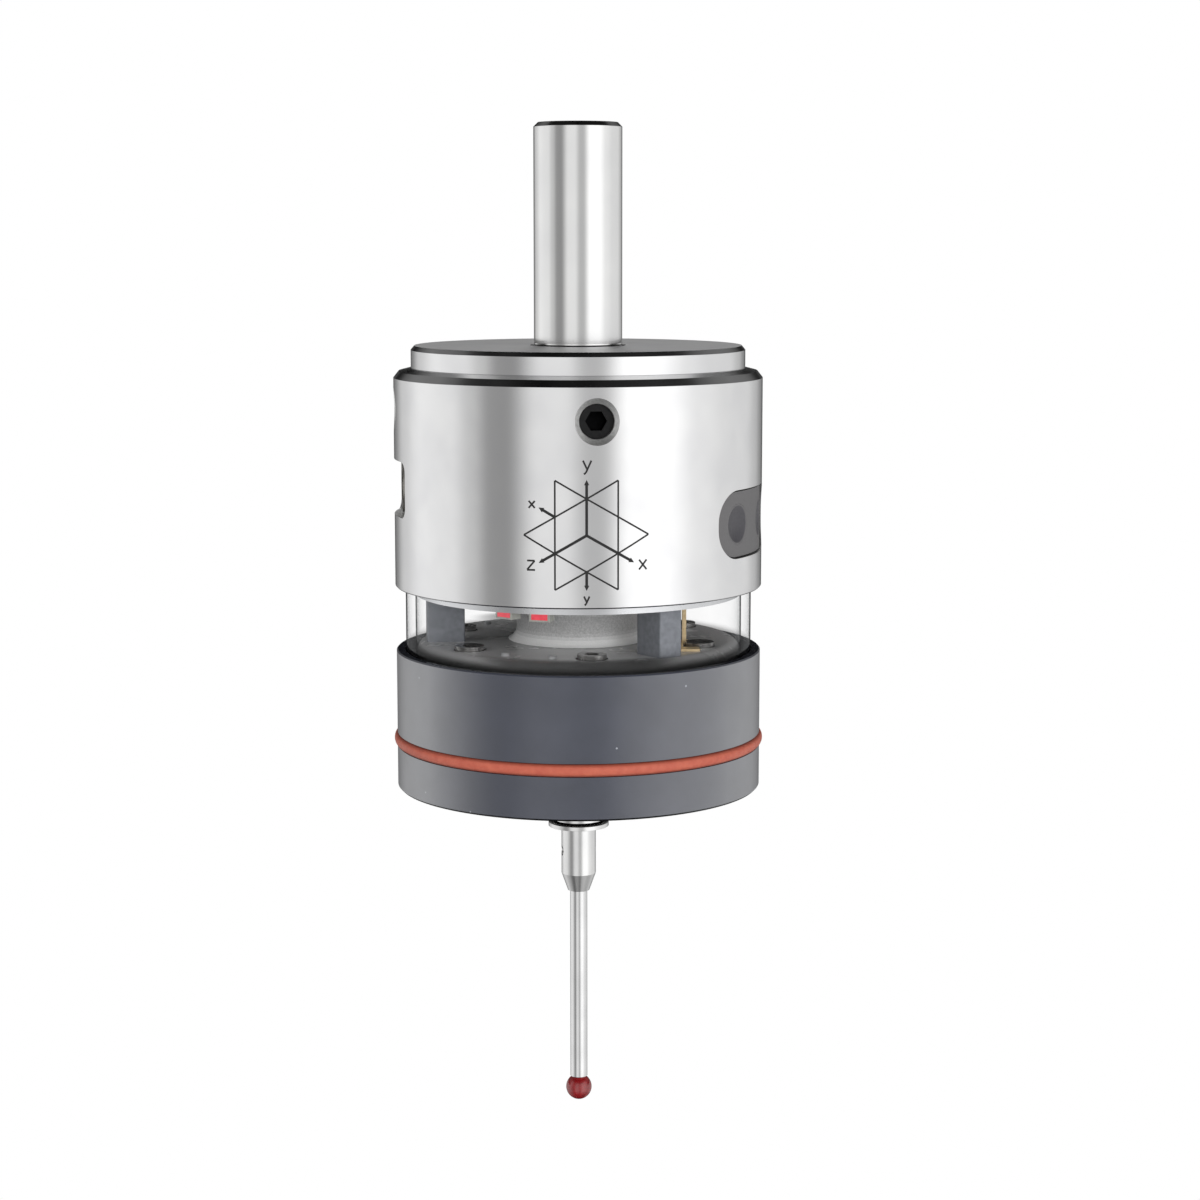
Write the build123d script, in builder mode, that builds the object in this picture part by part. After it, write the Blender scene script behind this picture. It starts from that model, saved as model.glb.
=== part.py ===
from build123d import *
import os
from math import cos, radians, sin, sqrt

# Three-dimensional edge finder, held by its shank in a milling spindle with the stylus pointing down.
# Z is up along the shank. The origin is on the axis, at the shoulder face that the shank rises from.
# Angles are taken about Z from the front (-Y) towards the right (+X). All sizes are in mm.
# A step, inset or margin is radial, and a drop or rise is along Z from the level named beside it.

os.makedirs("parts", exist_ok=True)

# Clearances
screw_clearance = 0.03
fit_clearance = 0.05
running_clearance = 0.04
free_clearance = 0.27
flat_clearance = 0.4
plate_clearance = 0.09
edge_break = 0.15

# Shank with its centring head
shank_dia = 10.0
shank_len = 24.87
shank_chamfer = 0.5
shank_relief = 0.3
shank_head_dia = 16.0
shank_head_thickness = 5.5
centring_play = 1.5
centre_drill_dia = 2.4
centre_drill_depth = 1.8

# Upper housing and its cap: the cap, the ledge and the body step outward from each other
body_dia = 41.9
ledge_step = 0.59
cap_step = 1.4
cap_bevel_width = 0.41
cap_bevel_height = 0.49
cap_depth = 2.5
cap_spigot_margin = 3.5
cap_spigot_len = 1.4
ledge_drop = 0.35
shoulder_drop = 0.75
housing_wall = 3.95
web_thickness = 2.4
upper_rim_depth = 27.3

# Centring set screws, in line with the middle part of the shank's head and with their thread at its mean
# diameter, and the clamp screw below it
centring_drop = 2.94
centring_count = 4
set_screw_dia = 3.76
set_screw_countersink = 0.58
set_screw_recess = 1.35
set_screw_hex = 2.05
set_screw_hex_depth = 2.0
countersink_angle = 45.0
clamp_screw_dia = 5.0
clamp_screw_reach = 6.4
clamp_head_margin = 1.75
clamp_head_height = 3.0
clamp_hex = 4.0
clamp_washer_margin = 3.0
clamp_washer_thickness = 1.0
hex_depth_share = 0.55

# Window ring between the two housings
window_step = 1.16
window_wall = 1.1
window_socket_depth = 1.4
seal_thickness = 0.4
window_gap = 7.29

# Upper plate, spacer posts and tie screws
upper_plate_thickness = 2.35
plunger_hole_margin = 1.0
post_inset = 3.3
post_angles = (30.0, 150.0, -90.0)
post_radial = 4.3
post_tangential = 3.0
post_corner = 0.2
tie_screw_dia = 2.5
tie_head_margin = 0.95
tie_head_height = 1.5
tie_hex = 2.0
lug_dia = 4.8
lug_height = 3.3
tie_engagement = 2.2

# Base plate and its screws
base_rise = 0.99
base_rim_round = 1.4
plate_screw_inset = 3.6
plate_screw_count = 6
plate_screw_dia = 2.0
plate_head_margin = 0.65
plate_head_height = 1.0
plate_head_rise = 0.5
plate_screw_len = 7.0
plate_hex = 1.5
pad_inset = 3.4
pad_angles = (-37.6, -16.4, -140.0)
pad_dia = 0.9
pad_height = 0.3

# Lower housing and its ring
lower_step = 0.07
lower_height = 15.95
bore_inset = 2.4
floor_thickness = 2.6
exit_dia = 11.0
exit_mouth_width = 1.5
exit_mouth_depth = 1.0
ring_section = 1.12
ring_proud = 0.34
ring_drop = 10.23

# Spring housing, guide bush and spring
boss_dia = 14.2
boss_height = 4.6
boss_round = 1.2
boss_flare_width = 1.3
boss_flare_height = 1.5
boss_wall = 1.2
boss_roof = 1.4
boss_spigot_step = 0.2
bush_wall = 1.1
bush_flange_width = 0.8
bush_flange_height = 0.7
bush_len = 5.5
spring_inset = 1.0
spring_wire = 0.62
spring_turns = 4.5

# Plunger, pivot ball, carrier and seat
pin_dia = 3.0
pin_rise = 1.1
pivot_rise = 5.6
pivot_dia = 4.0
plunger_plate_rise = 2.8
plunger_plate_play = 0.3
plunger_plate_thickness = 1.0
cup_wall = 1.36
cup_half_gap = 0.4
clip_width = 1.1
clip_groove_depth = 0.3
clip_thickness = 0.4
clip_clearance = 0.1
seat_ball_dia = 2.5
seat_ball_radius = 7.0
seat_ball_rise = 2.34
seat_ball_count = 3
seat_ball_first_angle = 60.0
seat_ball_stand = 0.3
seat_ring_margin = 1.2
seat_clearance = 0.015
carrier_face_drop = 0.8
neck_dia = 5.0
flange_drop = 4.3
flange_width = 1.0
flange_thickness = 0.82
flange_chamfer = 0.22

# Stylus
stylus_stud_dia = 3.0
stylus_stud_len = 4.2
stylus_base_dia = 4.0
stylus_base_len = 5.64
stylus_taper_len = 2.08
stylus_taper_width = 0.75
stylus_stem_dia = 2.0
stem_socket = 3.0
cross_hole_dia = 1.15
cross_hole_drop = 2.94
cross_hole_angle = 96.0
tip_dia = 3.0
stylus_reach = 31.57
tip_bore_depth = 0.9

# Keypad
keypad_first_angle = 41.4
keypad_last_angle = 86.0
keypad_rise = 8.05
keypad_height = 7.62
keypad_recess = 0.25
keypad_pocket_depth = 3.15
button_angles = (52.9, 74.5)
button_dia = 4.4
button_thickness = 1.6
button_sink = 0.1
button_dish = 0.55
button_stem_dia = 1.6
button_stem_play = 0.2
button_stem_gap = 0.9
switch_board_inset = 2.0
switch_board_thickness = 0.8
switch_board_width = 10.4
switch_board_rise = 3.05
switch_size = 3.0
switch_height = 0.4

# Jack socket
jack_angle = -90.0
jack_drop = 3.65
jack_pocket_width = 12.6
jack_pocket_height = 6.3
jack_pocket_corner = 1.2
jack_pocket_depth = 1.25
jack_bore_dia = 3.6
jack_bore_len = 12.0
jack_sleeve_wall = 0.8
jack_nut_width = 0.35
jack_nut_height = 0.35
jack_block_margin = 0.2
jack_block_width = 7.0
jack_block_end = 1.81
jack_block_gap = 0.1

# Boards, battery and lamps
board_thickness = 1.2
battery_wall_gap = 0.7
battery_screw_gap = 0.45
battery_angle = -170.0
battery_upper_contact = 1.0
battery_lower_contact = 0.9
battery_rim = 0.6
battery_cap_step = 2.0
battery_cap_height = 0.3
battery_contact_step = 2.3
board_screw_dia = 2.0
board_head_margin = 0.6
board_head_height = 1.2
lamp_inset = 6.65
lamp_angles = (-46.6, -25.5, 100.0, 132.0)
lamp_width = 2.4
lamp_depth = 1.5
lamp_drop = 1.75
lamp_play = 0.1
lens_side_margin = 0.25
lens_end_margin = 0.2
lens_thickness = 0.3
lamp_board_width = 4.4
lamp_board_thickness = 1.0
component_inset = 6.5
chip_angle = 0.0
chip_size = 6.0
chip_height = 1.1
can_angles = (130.0, 100.0)
can_dia = 3.2
can_height = 3.0
small_angles = (-45.0, -62.0)
small_long = 2.4
small_wide = 1.3
small_high = 0.8
strip_angle = 66.8
strip_turn_angle = -6.0
strip_inset = 6.0
strip_thickness = 0.45
strip_width = 1.6
strip_slot = 0.5
foot_thickness = 0.25
foot_rail_width = 0.45
foot_rail_len = 7.1
foot_tab_len = 2.25
foot_tab_width = 1.7

# Radii that follow from the sizes above
body_r = body_dia / 2
ledge_r = body_r - ledge_step
cap_r = ledge_r - cap_step
cap_top_r = cap_r - cap_bevel_width
neck_r = shank_dia / 2 - shank_relief
head_pocket_r = shank_head_dia / 2 + centring_play
spigot_r = head_pocket_r + cap_spigot_margin
cavity_r = body_r - housing_wall
set_screw_r = set_screw_dia / 2
clamp_head_r = clamp_screw_dia / 2 + clamp_head_margin
window_r = body_r - window_step
window_socket_r = window_r + fit_clearance + edge_break / 2
plate_r = window_r - window_wall - plate_clearance
post_radius = plate_r - post_inset
tie_head_r = tie_screw_dia / 2 + tie_head_margin
plate_screw_radius = plate_r - plate_screw_inset
plate_head_r = plate_screw_dia / 2 + plate_head_margin
pad_radius = plate_r - pad_inset
lower_r = body_r - lower_step
bore_r = plate_screw_radius - bore_inset
exit_r = exit_dia / 2
ring_centre_r = lower_r + ring_proud - ring_section / 2
groove_r = ring_centre_r - ring_section / 2 - screw_clearance
boss_r = boss_dia / 2
boss_bore_r = boss_r - boss_wall
boss_spigot_r = boss_r - boss_spigot_step
bush_outer_r = pin_dia / 2 + bush_wall
bush_flange_r = bush_outer_r + bush_flange_width
plunger_plate_r = boss_bore_r - plunger_plate_play
spring_mean_r = plunger_plate_r - spring_inset
cup_r = pivot_dia / 2 + running_clearance
clip_groove_r = pin_dia / 2 - clip_groove_depth
neck_flange_r = neck_dia / 2 + flange_width
jack_pocket_floor = body_r - jack_pocket_depth
jack_sleeve_r = jack_bore_dia / 2 + jack_sleeve_wall
keypad_floor = body_r - keypad_pocket_depth
keypad_half = body_r * sin(radians((keypad_last_angle - keypad_first_angle) / 2))
button_face = body_r - keypad_recess - button_sink
button_back = button_face - button_thickness
switch_board_face = cavity_r - switch_board_inset
button_stem_end = switch_board_face + switch_height + button_stem_gap
battery_r = (cavity_r - clamp_head_r - battery_wall_gap - battery_screw_gap) / 2
battery_radius = cavity_r - battery_wall_gap - battery_r
lamp_radius = plate_r - lamp_inset
lamp_front = lamp_radius + lamp_depth / 2
strip_radius = plate_r - strip_inset
component_radius = cavity_r - component_inset

# Levels that follow from the sizes above, from the top down
cap_bottom = -cap_depth
spigot_bottom = cap_bottom - cap_spigot_len
ledge_z = cap_bottom - ledge_drop
shoulder_z = ledge_z - shoulder_drop
head_top = spigot_bottom - flat_clearance
head_bottom = head_top - shank_head_thickness
centring_z = head_top - centring_drop
web_bottom = head_bottom - web_thickness
jack_z = web_bottom - jack_drop
upper_rim = -upper_rim_depth
keypad_z = upper_rim + keypad_rise
upper_seat = upper_rim + window_socket_depth
upper_plate_bottom = upper_seat - upper_plate_thickness
lug_top = upper_seat + lug_height
main_board_top = lug_top + board_thickness
lamp_board_top = upper_seat + lamp_board_thickness
battery_top = web_bottom - battery_upper_contact
battery_bottom = lamp_board_top + battery_lower_contact
lower_rim = upper_rim - window_gap
lower_seat = lower_rim - window_socket_depth
base_top = lower_rim + base_rise
plate_head_seat = base_top + plate_head_rise - plate_head_height
boss_top = base_top + boss_height
boss_bottom = lower_seat + plate_clearance
bush_top = boss_top + bush_flange_height
clip_bottom = bush_top + clip_clearance
lower_bottom = lower_rim - lower_height
ring_z = lower_rim - ring_drop
floor_top = lower_bottom + floor_thickness
seat_ball_z = floor_top + seat_ball_rise
pivot_z = seat_ball_z + pivot_rise
plunger_plate_top = pivot_z + plunger_plate_rise
carrier_face = pivot_z - carrier_face_drop
flange_top = lower_bottom - flange_drop
flange_bottom = flange_top - flange_thickness
stylus_base_end = flange_bottom - stylus_base_len
stylus_taper_end = stylus_base_end - stylus_taper_len
tip_z = flange_bottom - stylus_reach

# The dome that rests on the three contact balls is concentric with the pivot ball
seat_distance = sqrt(seat_ball_radius**2 + pivot_rise**2)
dome_r = seat_distance - seat_ball_dia / 2 - seat_clearance

# Middle angle of the keypad
keypad_angle = (keypad_first_angle + keypad_last_angle) / 2


def spot(radius, angle):
    """Point in the XY plane at a radius and an angle from the front."""
    return (radius * sin(radians(angle)), -radius * cos(radians(angle)))


def outward(angle, height, distance=0.0):
    """Plane facing outward at an angle, with its local Y up, at a height and a distance from the axis."""
    side = radians(angle)
    x, y = spot(distance, angle)
    return Plane(origin=(x, y, height), x_dir=(cos(side), sin(side), 0), z_dir=(sin(side), -cos(side), 0))


# Shank: ground cylinder above the shoulder, a neck in the cap's hole and a wide head that the set
# screws push sideways
with BuildPart() as shank:
    with BuildSketch(Plane.XZ):
        with BuildLine():
            Polyline(
                (0, head_bottom),
                (shank_head_dia / 2, head_bottom),
                (shank_head_dia / 2, head_top),
                (neck_r, head_top),
                (neck_r, -shank_relief),
                (shank_dia / 2, 0),
                (shank_dia / 2, shank_len - shank_chamfer),
                (shank_dia / 2 - shank_chamfer, shank_len),
                (centre_drill_dia / 2, shank_len),
                (0, shank_len - centre_drill_depth),
                close=True,
            )
        make_face()
    revolve(axis=Axis.Z)
    with BuildSketch(Plane.XY.offset(head_bottom)):
        Circle(clamp_screw_dia / 2 + screw_clearance)
    extrude(amount=clamp_screw_reach + shank_chamfer, mode=Mode.SUBTRACT)
shank.part.label = "shank"
export_step(shank.part, "parts/shank.step")

# Cap: the shoulder face round the shank, with a bevelled rim and a spigot in the housing
with BuildPart() as top_cap:
    with BuildSketch(Plane.XZ):
        with BuildLine():
            Polyline(
                (shank_dia / 2 + free_clearance, -edge_break),
                (shank_dia / 2 + free_clearance + edge_break, 0),
                (cap_top_r, 0),
                (cap_r, -cap_bevel_height),
                (cap_r, cap_bottom),
                (spigot_r, cap_bottom),
                (spigot_r, spigot_bottom),
                (shank_dia / 2 + free_clearance, spigot_bottom),
                close=True,
            )
        make_face()
    revolve(axis=Axis.Z)
top_cap.part.label = "top_cap"
export_step(top_cap.part, "parts/top_cap.step")

# Upper housing: turned shell with a web under the shank's head, a cavity below it and three lugs
with BuildPart() as upper_housing:
    with BuildSketch(Plane.XZ):
        with BuildLine():
            Polyline(
                (spigot_r + fit_clearance, cap_bottom),
                (cap_r, cap_bottom),
                (ledge_r, ledge_z),
                (body_r, shoulder_z),
                (body_r, upper_rim + edge_break),
                (body_r - edge_break, upper_rim),
                (window_socket_r, upper_rim),
                (window_socket_r, upper_seat),
                (cavity_r, upper_seat),
                (cavity_r, web_bottom),
                (clamp_screw_dia / 2 + free_clearance, web_bottom),
                (clamp_screw_dia / 2 + free_clearance, head_bottom),
                (head_pocket_r, head_bottom),
                (head_pocket_r, spigot_bottom),
                (spigot_r + fit_clearance, spigot_bottom),
                close=True,
            )
        make_face()
    revolve(axis=Axis.Z)
    with BuildSketch(Plane.XY.offset(upper_seat)):
        with Locations(*[spot(post_radius, a) for a in post_angles]):
            Circle(lug_dia / 2)
    extrude(amount=lug_height)
    with BuildSketch(Plane.XY.offset(upper_seat)):
        with Locations(*[spot(post_radius, a) for a in post_angles]):
            Circle(tie_screw_dia / 2 + screw_clearance)
    extrude(amount=tie_engagement + edge_break, mode=Mode.SUBTRACT)
    board_screw_hole_bottom = upper_seat + tie_engagement + 2 * edge_break
    with BuildSketch(Plane.XY.offset(board_screw_hole_bottom)):
        with Locations(*[spot(post_radius, a) for a in post_angles]):
            Circle(board_screw_dia / 2 + screw_clearance)
    extrude(amount=lug_height, mode=Mode.SUBTRACT)
    for turn in range(centring_count):
        way = 360 / centring_count * turn
        with BuildSketch(outward(way, centring_z)):
            Circle(set_screw_r + screw_clearance)
        extrude(amount=body_dia, mode=Mode.SUBTRACT)
        with BuildSketch(outward(way, centring_z, body_r)):
            Circle(set_screw_r + set_screw_countersink)
        extrude(amount=-set_screw_countersink, taper=countersink_angle, mode=Mode.SUBTRACT)
    with BuildSketch(outward(jack_angle, jack_z, jack_pocket_floor)):
        RectangleRounded(jack_pocket_width, jack_pocket_height, jack_pocket_corner)
    extrude(amount=body_r, mode=Mode.SUBTRACT)
    with BuildSketch(outward(jack_angle, jack_z)):
        Circle(jack_sleeve_r + fit_clearance)
    extrude(amount=body_r, mode=Mode.SUBTRACT)
    with BuildSketch(outward(keypad_angle, keypad_z, keypad_floor)):
        SlotOverall(2 * keypad_half, keypad_height)
    extrude(amount=body_r, mode=Mode.SUBTRACT)
    for way in button_angles:
        with BuildSketch(outward(way, keypad_z, switch_board_face)):
            Circle(button_stem_dia / 2 + button_stem_play)
        extrude(amount=body_r, mode=Mode.SUBTRACT)
upper_housing.part.label = "upper_housing"
export_step(upper_housing.part, "parts/upper_housing.step")

# Centring set screws: four grub screws that bear on the shank's head
with BuildPart() as centering_screws:
    tip_at = shank_head_dia / 2
    screw_face = body_r - set_screw_recess
    for turn in range(centring_count):
        way = 360 / centring_count * turn
        with BuildSketch(outward(way, centring_z, tip_at)):
            Circle(set_screw_r)
        extrude(amount=screw_face - tip_at)
        with BuildSketch(outward(way, centring_z, screw_face)):
            RegularPolygon(set_screw_hex / 2, 6, major_radius=False)
        extrude(amount=-set_screw_hex_depth, mode=Mode.SUBTRACT)
centering_screws.part.label = "centering_screws"
export_step(centering_screws.part, "parts/centering_screws.step")

# Clamp screw: socket head screw that pulls the shank's head down on the web
with BuildPart() as clamp_screw:
    screw_head_top = web_bottom - clamp_washer_thickness
    with BuildSketch(Plane.XY.offset(screw_head_top)):
        Circle(clamp_head_r)
    extrude(amount=-clamp_head_height)
    with BuildSketch(Plane.XY.offset(screw_head_top)):
        Circle(clamp_screw_dia / 2)
    extrude(amount=head_bottom + clamp_screw_reach - screw_head_top)
    with BuildSketch(Plane.XY.offset(screw_head_top - clamp_head_height)):
        RegularPolygon(clamp_hex / 2, 6, major_radius=False)
    extrude(amount=clamp_head_height * hex_depth_share, mode=Mode.SUBTRACT)
clamp_screw.part.label = "clamp_screw"
export_step(clamp_screw.part, "parts/clamp_screw.step")

with BuildPart() as clamp_washer:
    with BuildSketch(Plane.XY.offset(web_bottom)):
        Circle(clamp_screw_dia / 2 + clamp_washer_margin)
        Circle(clamp_screw_dia / 2 + free_clearance, mode=Mode.SUBTRACT)
    extrude(amount=-clamp_washer_thickness)
clamp_washer.part.label = "clamp_washer"
export_step(clamp_washer.part, "parts/clamp_washer.step")

# Keypad bezel: a filler in the stadium-shaped pocket, its face a little below the housing's
with BuildPart() as keypad_bezel:
    with BuildSketch(outward(keypad_angle, keypad_z, keypad_floor)):
        SlotOverall(2 * (keypad_half - fit_clearance), keypad_height - 2 * fit_clearance)
    extrude(amount=body_r)
    with BuildSketch(Plane.XY.offset(upper_rim)):
        Circle(body_r - keypad_recess)
    extrude(amount=upper_rim_depth, mode=Mode.INTERSECT)
    for way in button_angles:
        with BuildSketch(outward(way, keypad_z, switch_board_face)):
            Circle(button_dia / 2 + running_clearance)
        extrude(amount=body_r, mode=Mode.SUBTRACT)
keypad_bezel.part.label = "keypad_bezel"
export_step(keypad_bezel.part, "parts/keypad_bezel.step")

# Two dished buttons, each with a stem that reaches its switch
dish_r = ((button_dia / 2) ** 2 + button_dish**2) / (2 * button_dish)
with BuildPart() as button_1:
    with BuildSketch(outward(button_angles[0], keypad_z, button_back)):
        Circle(button_dia / 2)
    extrude(amount=button_face - button_back)
    with BuildSketch(outward(button_angles[0], keypad_z, button_stem_end)):
        Circle(button_stem_dia / 2)
    extrude(amount=button_back - button_stem_end)
    with Locations((*spot(button_face + dish_r - button_dish, button_angles[0]), keypad_z)):
        Sphere(dish_r, mode=Mode.SUBTRACT)
button_1.part.label = "button_1"
export_step(button_1.part, "parts/button_1.step")

with BuildPart() as button_2:
    with BuildSketch(outward(button_angles[1], keypad_z, button_back)):
        Circle(button_dia / 2)
    extrude(amount=button_face - button_back)
    with BuildSketch(outward(button_angles[1], keypad_z, button_stem_end)):
        Circle(button_stem_dia / 2)
    extrude(amount=button_back - button_stem_end)
    with Locations((*spot(button_face + dish_r - button_dish, button_angles[1]), keypad_z)):
        Sphere(dish_r, mode=Mode.SUBTRACT)
button_2.part.label = "button_2"
export_step(button_2.part, "parts/button_2.step")

# Switch board: upright board on the main board, one flat switch behind each button
with BuildPart() as switch_board:
    board_top = keypad_z + switch_board_rise
    board_mid = (board_top + main_board_top) / 2
    with BuildSketch(outward(keypad_angle, board_mid, switch_board_face)):
        Rectangle(switch_board_width, board_top - main_board_top)
    extrude(amount=-switch_board_thickness)
    for way in button_angles:
        shift = switch_board_face * sin(radians(way - keypad_angle))
        with BuildSketch(outward(keypad_angle, keypad_z, switch_board_face)):
            with Locations((shift, 0)):
                Rectangle(switch_size, switch_size)
        extrude(amount=switch_height)
switch_board.part.label = "switch_board"
export_step(switch_board.part, "parts/switch_board.step")

# Jack socket: block inside the cavity with a sleeve through the wall and a bore for the plug
with BuildPart() as jack_socket:
    block_face = sqrt(cavity_r**2 - (jack_block_width / 2) ** 2) - jack_block_gap
    sleeve_end = jack_pocket_floor + jack_nut_height
    with BuildSketch(outward(jack_angle, jack_z, block_face)):
        Rectangle(jack_block_width, 2 * (jack_sleeve_r + jack_block_margin))
    extrude(amount=sleeve_end - jack_bore_len - jack_block_end - block_face)
    with BuildSketch(outward(jack_angle, jack_z, block_face)):
        Circle(jack_sleeve_r)
    extrude(amount=sleeve_end - block_face)
    with BuildSketch(outward(jack_angle, jack_z, sleeve_end)):
        Circle(jack_bore_dia / 2)
    extrude(amount=-jack_bore_len, mode=Mode.SUBTRACT)
jack_socket.part.label = "jack_socket"
export_step(jack_socket.part, "parts/jack_socket.step")

with BuildPart() as jack_nut:
    with BuildSketch(outward(jack_angle, jack_z, jack_pocket_floor)):
        Circle(jack_sleeve_r + jack_nut_width)
        Circle(jack_sleeve_r + screw_clearance, mode=Mode.SUBTRACT)
    extrude(amount=jack_nut_height)
jack_nut.part.label = "jack_nut"
export_step(jack_nut.part, "parts/jack_nut.step")

# Main board on the three lugs, with a hole for the battery
with BuildPart() as main_board:
    with BuildSketch(Plane.XY.offset(lug_top)):
        Circle(cavity_r - flat_clearance)
        with Locations(spot(battery_radius, battery_angle)):
            Circle(battery_r + flat_clearance, mode=Mode.SUBTRACT)
        with Locations(*[spot(post_radius, a) for a in post_angles]):
            Circle(board_screw_dia / 2 + edge_break, mode=Mode.SUBTRACT)
    extrude(amount=board_thickness)
main_board.part.label = "main_board"
export_step(main_board.part, "parts/main_board.step")

# Parts on the main board: a chip, two cans and two small parts
with BuildPart() as board_parts:
    with BuildSketch(Plane.XY.offset(main_board_top)):
        with Locations(spot(component_radius, chip_angle)):
            Rectangle(chip_size, chip_size)
    extrude(amount=chip_height)
    with BuildSketch(Plane.XY.offset(main_board_top)):
        with Locations(*[spot(component_radius, a) for a in can_angles]):
            Circle(can_dia / 2)
    extrude(amount=can_height)
    with BuildSketch(Plane.XY.offset(main_board_top)):
        with Locations(*[spot(component_radius, a) for a in small_angles]):
            Rectangle(small_long, small_wide)
    extrude(amount=small_high)
board_parts.part.label = "board_parts"
export_step(board_parts.part, "parts/board_parts.step")

with BuildPart() as board_screws:
    with BuildSketch(Plane.XY.offset(board_screw_hole_bottom + edge_break)):
        with Locations(*[spot(post_radius, a) for a in post_angles]):
            Circle(board_screw_dia / 2)
    extrude(amount=main_board_top - board_screw_hole_bottom - edge_break)
    with BuildSketch(Plane.XY.offset(main_board_top)):
        with Locations(*[spot(post_radius, a) for a in post_angles]):
            Circle(board_screw_dia / 2 + board_head_margin)
    extrude(amount=board_head_height)
board_screws.part.label = "board_screws"
export_step(board_screws.part, "parts/board_screws.step")

# Battery: upright cell with a raised cap, standing through the main board
with BuildPart() as battery:
    cell_at = spot(battery_radius, battery_angle)
    with BuildSketch(Plane.XY.offset(battery_bottom)):
        with Locations(cell_at):
            Circle(battery_r)
    extrude(amount=battery_top - battery_cap_height - battery_bottom)
    chamfer(battery.edges().filter_by(GeomType.CIRCLE), length=battery_rim / 2)
    with BuildSketch(Plane.XY.offset(battery_top)):
        with Locations(cell_at):
            Circle(battery_r - battery_cap_step)
    extrude(amount=-battery_rim)
battery.part.label = "battery"
export_step(battery.part, "parts/battery.step")

with BuildPart() as battery_contacts:
    with BuildSketch(Plane.XY.offset(battery_top)):
        with Locations(cell_at):
            Circle(battery_r - battery_contact_step)
    extrude(amount=battery_upper_contact)
    with BuildSketch(Plane.XY.offset(battery_bottom)):
        with Locations(cell_at):
            Circle(battery_r - battery_contact_step)
    extrude(amount=-battery_lower_contact)
battery_contacts.part.label = "battery_contacts"
export_step(battery_contacts.part, "parts/battery_contacts.step")

# Lamp board: a ring on the upper plate that the signal lamps hang from
with BuildPart() as lamp_board:
    with BuildSketch(Plane.XY.offset(upper_seat)):
        Circle(lamp_radius + lamp_board_width / 2)
        Circle(lamp_radius - lamp_board_width / 2, mode=Mode.SUBTRACT)
        with Locations(*[spot(post_radius, a) for a in post_angles]):
            Circle(lug_dia / 2 + edge_break, mode=Mode.SUBTRACT)
    extrude(amount=lamp_board_thickness)
lamp_board.part.label = "lamp_board"
export_step(lamp_board.part, "parts/lamp_board.step")

# Signal lamps: square-cornered, each through a slot in the upper plate, with a window that faces outward
lamp_bottom = upper_plate_bottom - lamp_drop
lamp_mid = (upper_seat + lamp_bottom) / 2
lens_mid = (upper_plate_bottom + lamp_bottom) / 2
lens_width = lamp_width - 2 * lens_side_margin
lens_height = lamp_drop - 2 * lens_end_margin
with BuildPart() as lamps:
    for way in lamp_angles:
        with BuildSketch(outward(way, lamp_mid, lamp_front - lamp_depth)):
            Rectangle(lamp_width, upper_seat - lamp_bottom)
        extrude(amount=lamp_depth)
        with BuildSketch(outward(way, lens_mid, lamp_front - lens_thickness)):
            Rectangle(lens_width + screw_clearance, lens_height + screw_clearance)
        extrude(amount=lens_thickness, mode=Mode.SUBTRACT)
lamps.part.label = "lamps"
export_step(lamps.part, "parts/lamps.step")

with BuildPart() as lamp_lenses:
    for way in lamp_angles:
        with BuildSketch(outward(way, lens_mid, lamp_front - lens_thickness)):
            Rectangle(lens_width, lens_height)
        extrude(amount=lens_thickness)
lamp_lenses.part.label = "lamp_lenses"
export_step(lamp_lenses.part, "parts/lamp_lenses.step")

# Upper plate: closes the upper housing, with holes for lamps, tie screws, the plunger and the strip
with BuildPart() as upper_plate:
    with BuildSketch(Plane.XY.offset(upper_seat)):
        Circle(plate_r)
        Circle(bush_flange_r + plunger_hole_margin, mode=Mode.SUBTRACT)
        with Locations(*[Location((*spot(lamp_radius, a), 0), (0, 0, a)) for a in lamp_angles]):
            Rectangle(lamp_width + 2 * lamp_play, lamp_depth + 2 * lamp_play, mode=Mode.SUBTRACT)
        with Locations(*[spot(post_radius, a) for a in post_angles]):
            Circle(tie_screw_dia / 2 + edge_break, mode=Mode.SUBTRACT)
        with Locations(Location((*spot(strip_radius, strip_angle), 0), (0, 0, strip_turn_angle))):
            Rectangle(strip_thickness + strip_slot, strip_width + strip_slot, mode=Mode.SUBTRACT)
    extrude(amount=-upper_plate_thickness)
upper_plate.part.label = "upper_plate"
export_step(upper_plate.part, "parts/upper_plate.step")

# Window ring: clear tube seen between the two housings
with BuildPart() as window_ring:
    window_len = upper_seat - lower_seat - 2 * seal_thickness
    with BuildSketch(Plane.XY.offset(upper_seat - seal_thickness)):
        Circle(window_r)
        Circle(window_r - window_wall, mode=Mode.SUBTRACT)
    extrude(amount=-window_len)
window_ring.part.label = "window_ring"
export_step(window_ring.part, "parts/window_ring.step")

with BuildPart() as window_seals:
    for level in (upper_seat, lower_seat + seal_thickness):
        with BuildSketch(Plane.XY.offset(level)):
            Circle(window_r - fit_clearance)
            Circle(window_r - window_wall + fit_clearance, mode=Mode.SUBTRACT)
        extrude(amount=-seal_thickness)
window_seals.part.label = "window_seals"
export_step(window_seals.part, "parts/window_seals.step")

# Spacer posts between the two plates, each with a tie screw through it
with BuildPart() as spacer_posts:
    with BuildSketch(Plane.XY.offset(base_top)):
        for way in post_angles:
            with Locations(Location((*spot(post_radius, way), 0), (0, 0, way))):
                RectangleRounded(post_tangential, post_radial, post_corner)
        with Locations(*[spot(post_radius, a) for a in post_angles]):
            Circle(tie_screw_dia / 2 + edge_break, mode=Mode.SUBTRACT)
    extrude(amount=upper_plate_bottom - base_top)
spacer_posts.part.label = "spacer_posts"
export_step(spacer_posts.part, "parts/spacer_posts.step")

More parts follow.
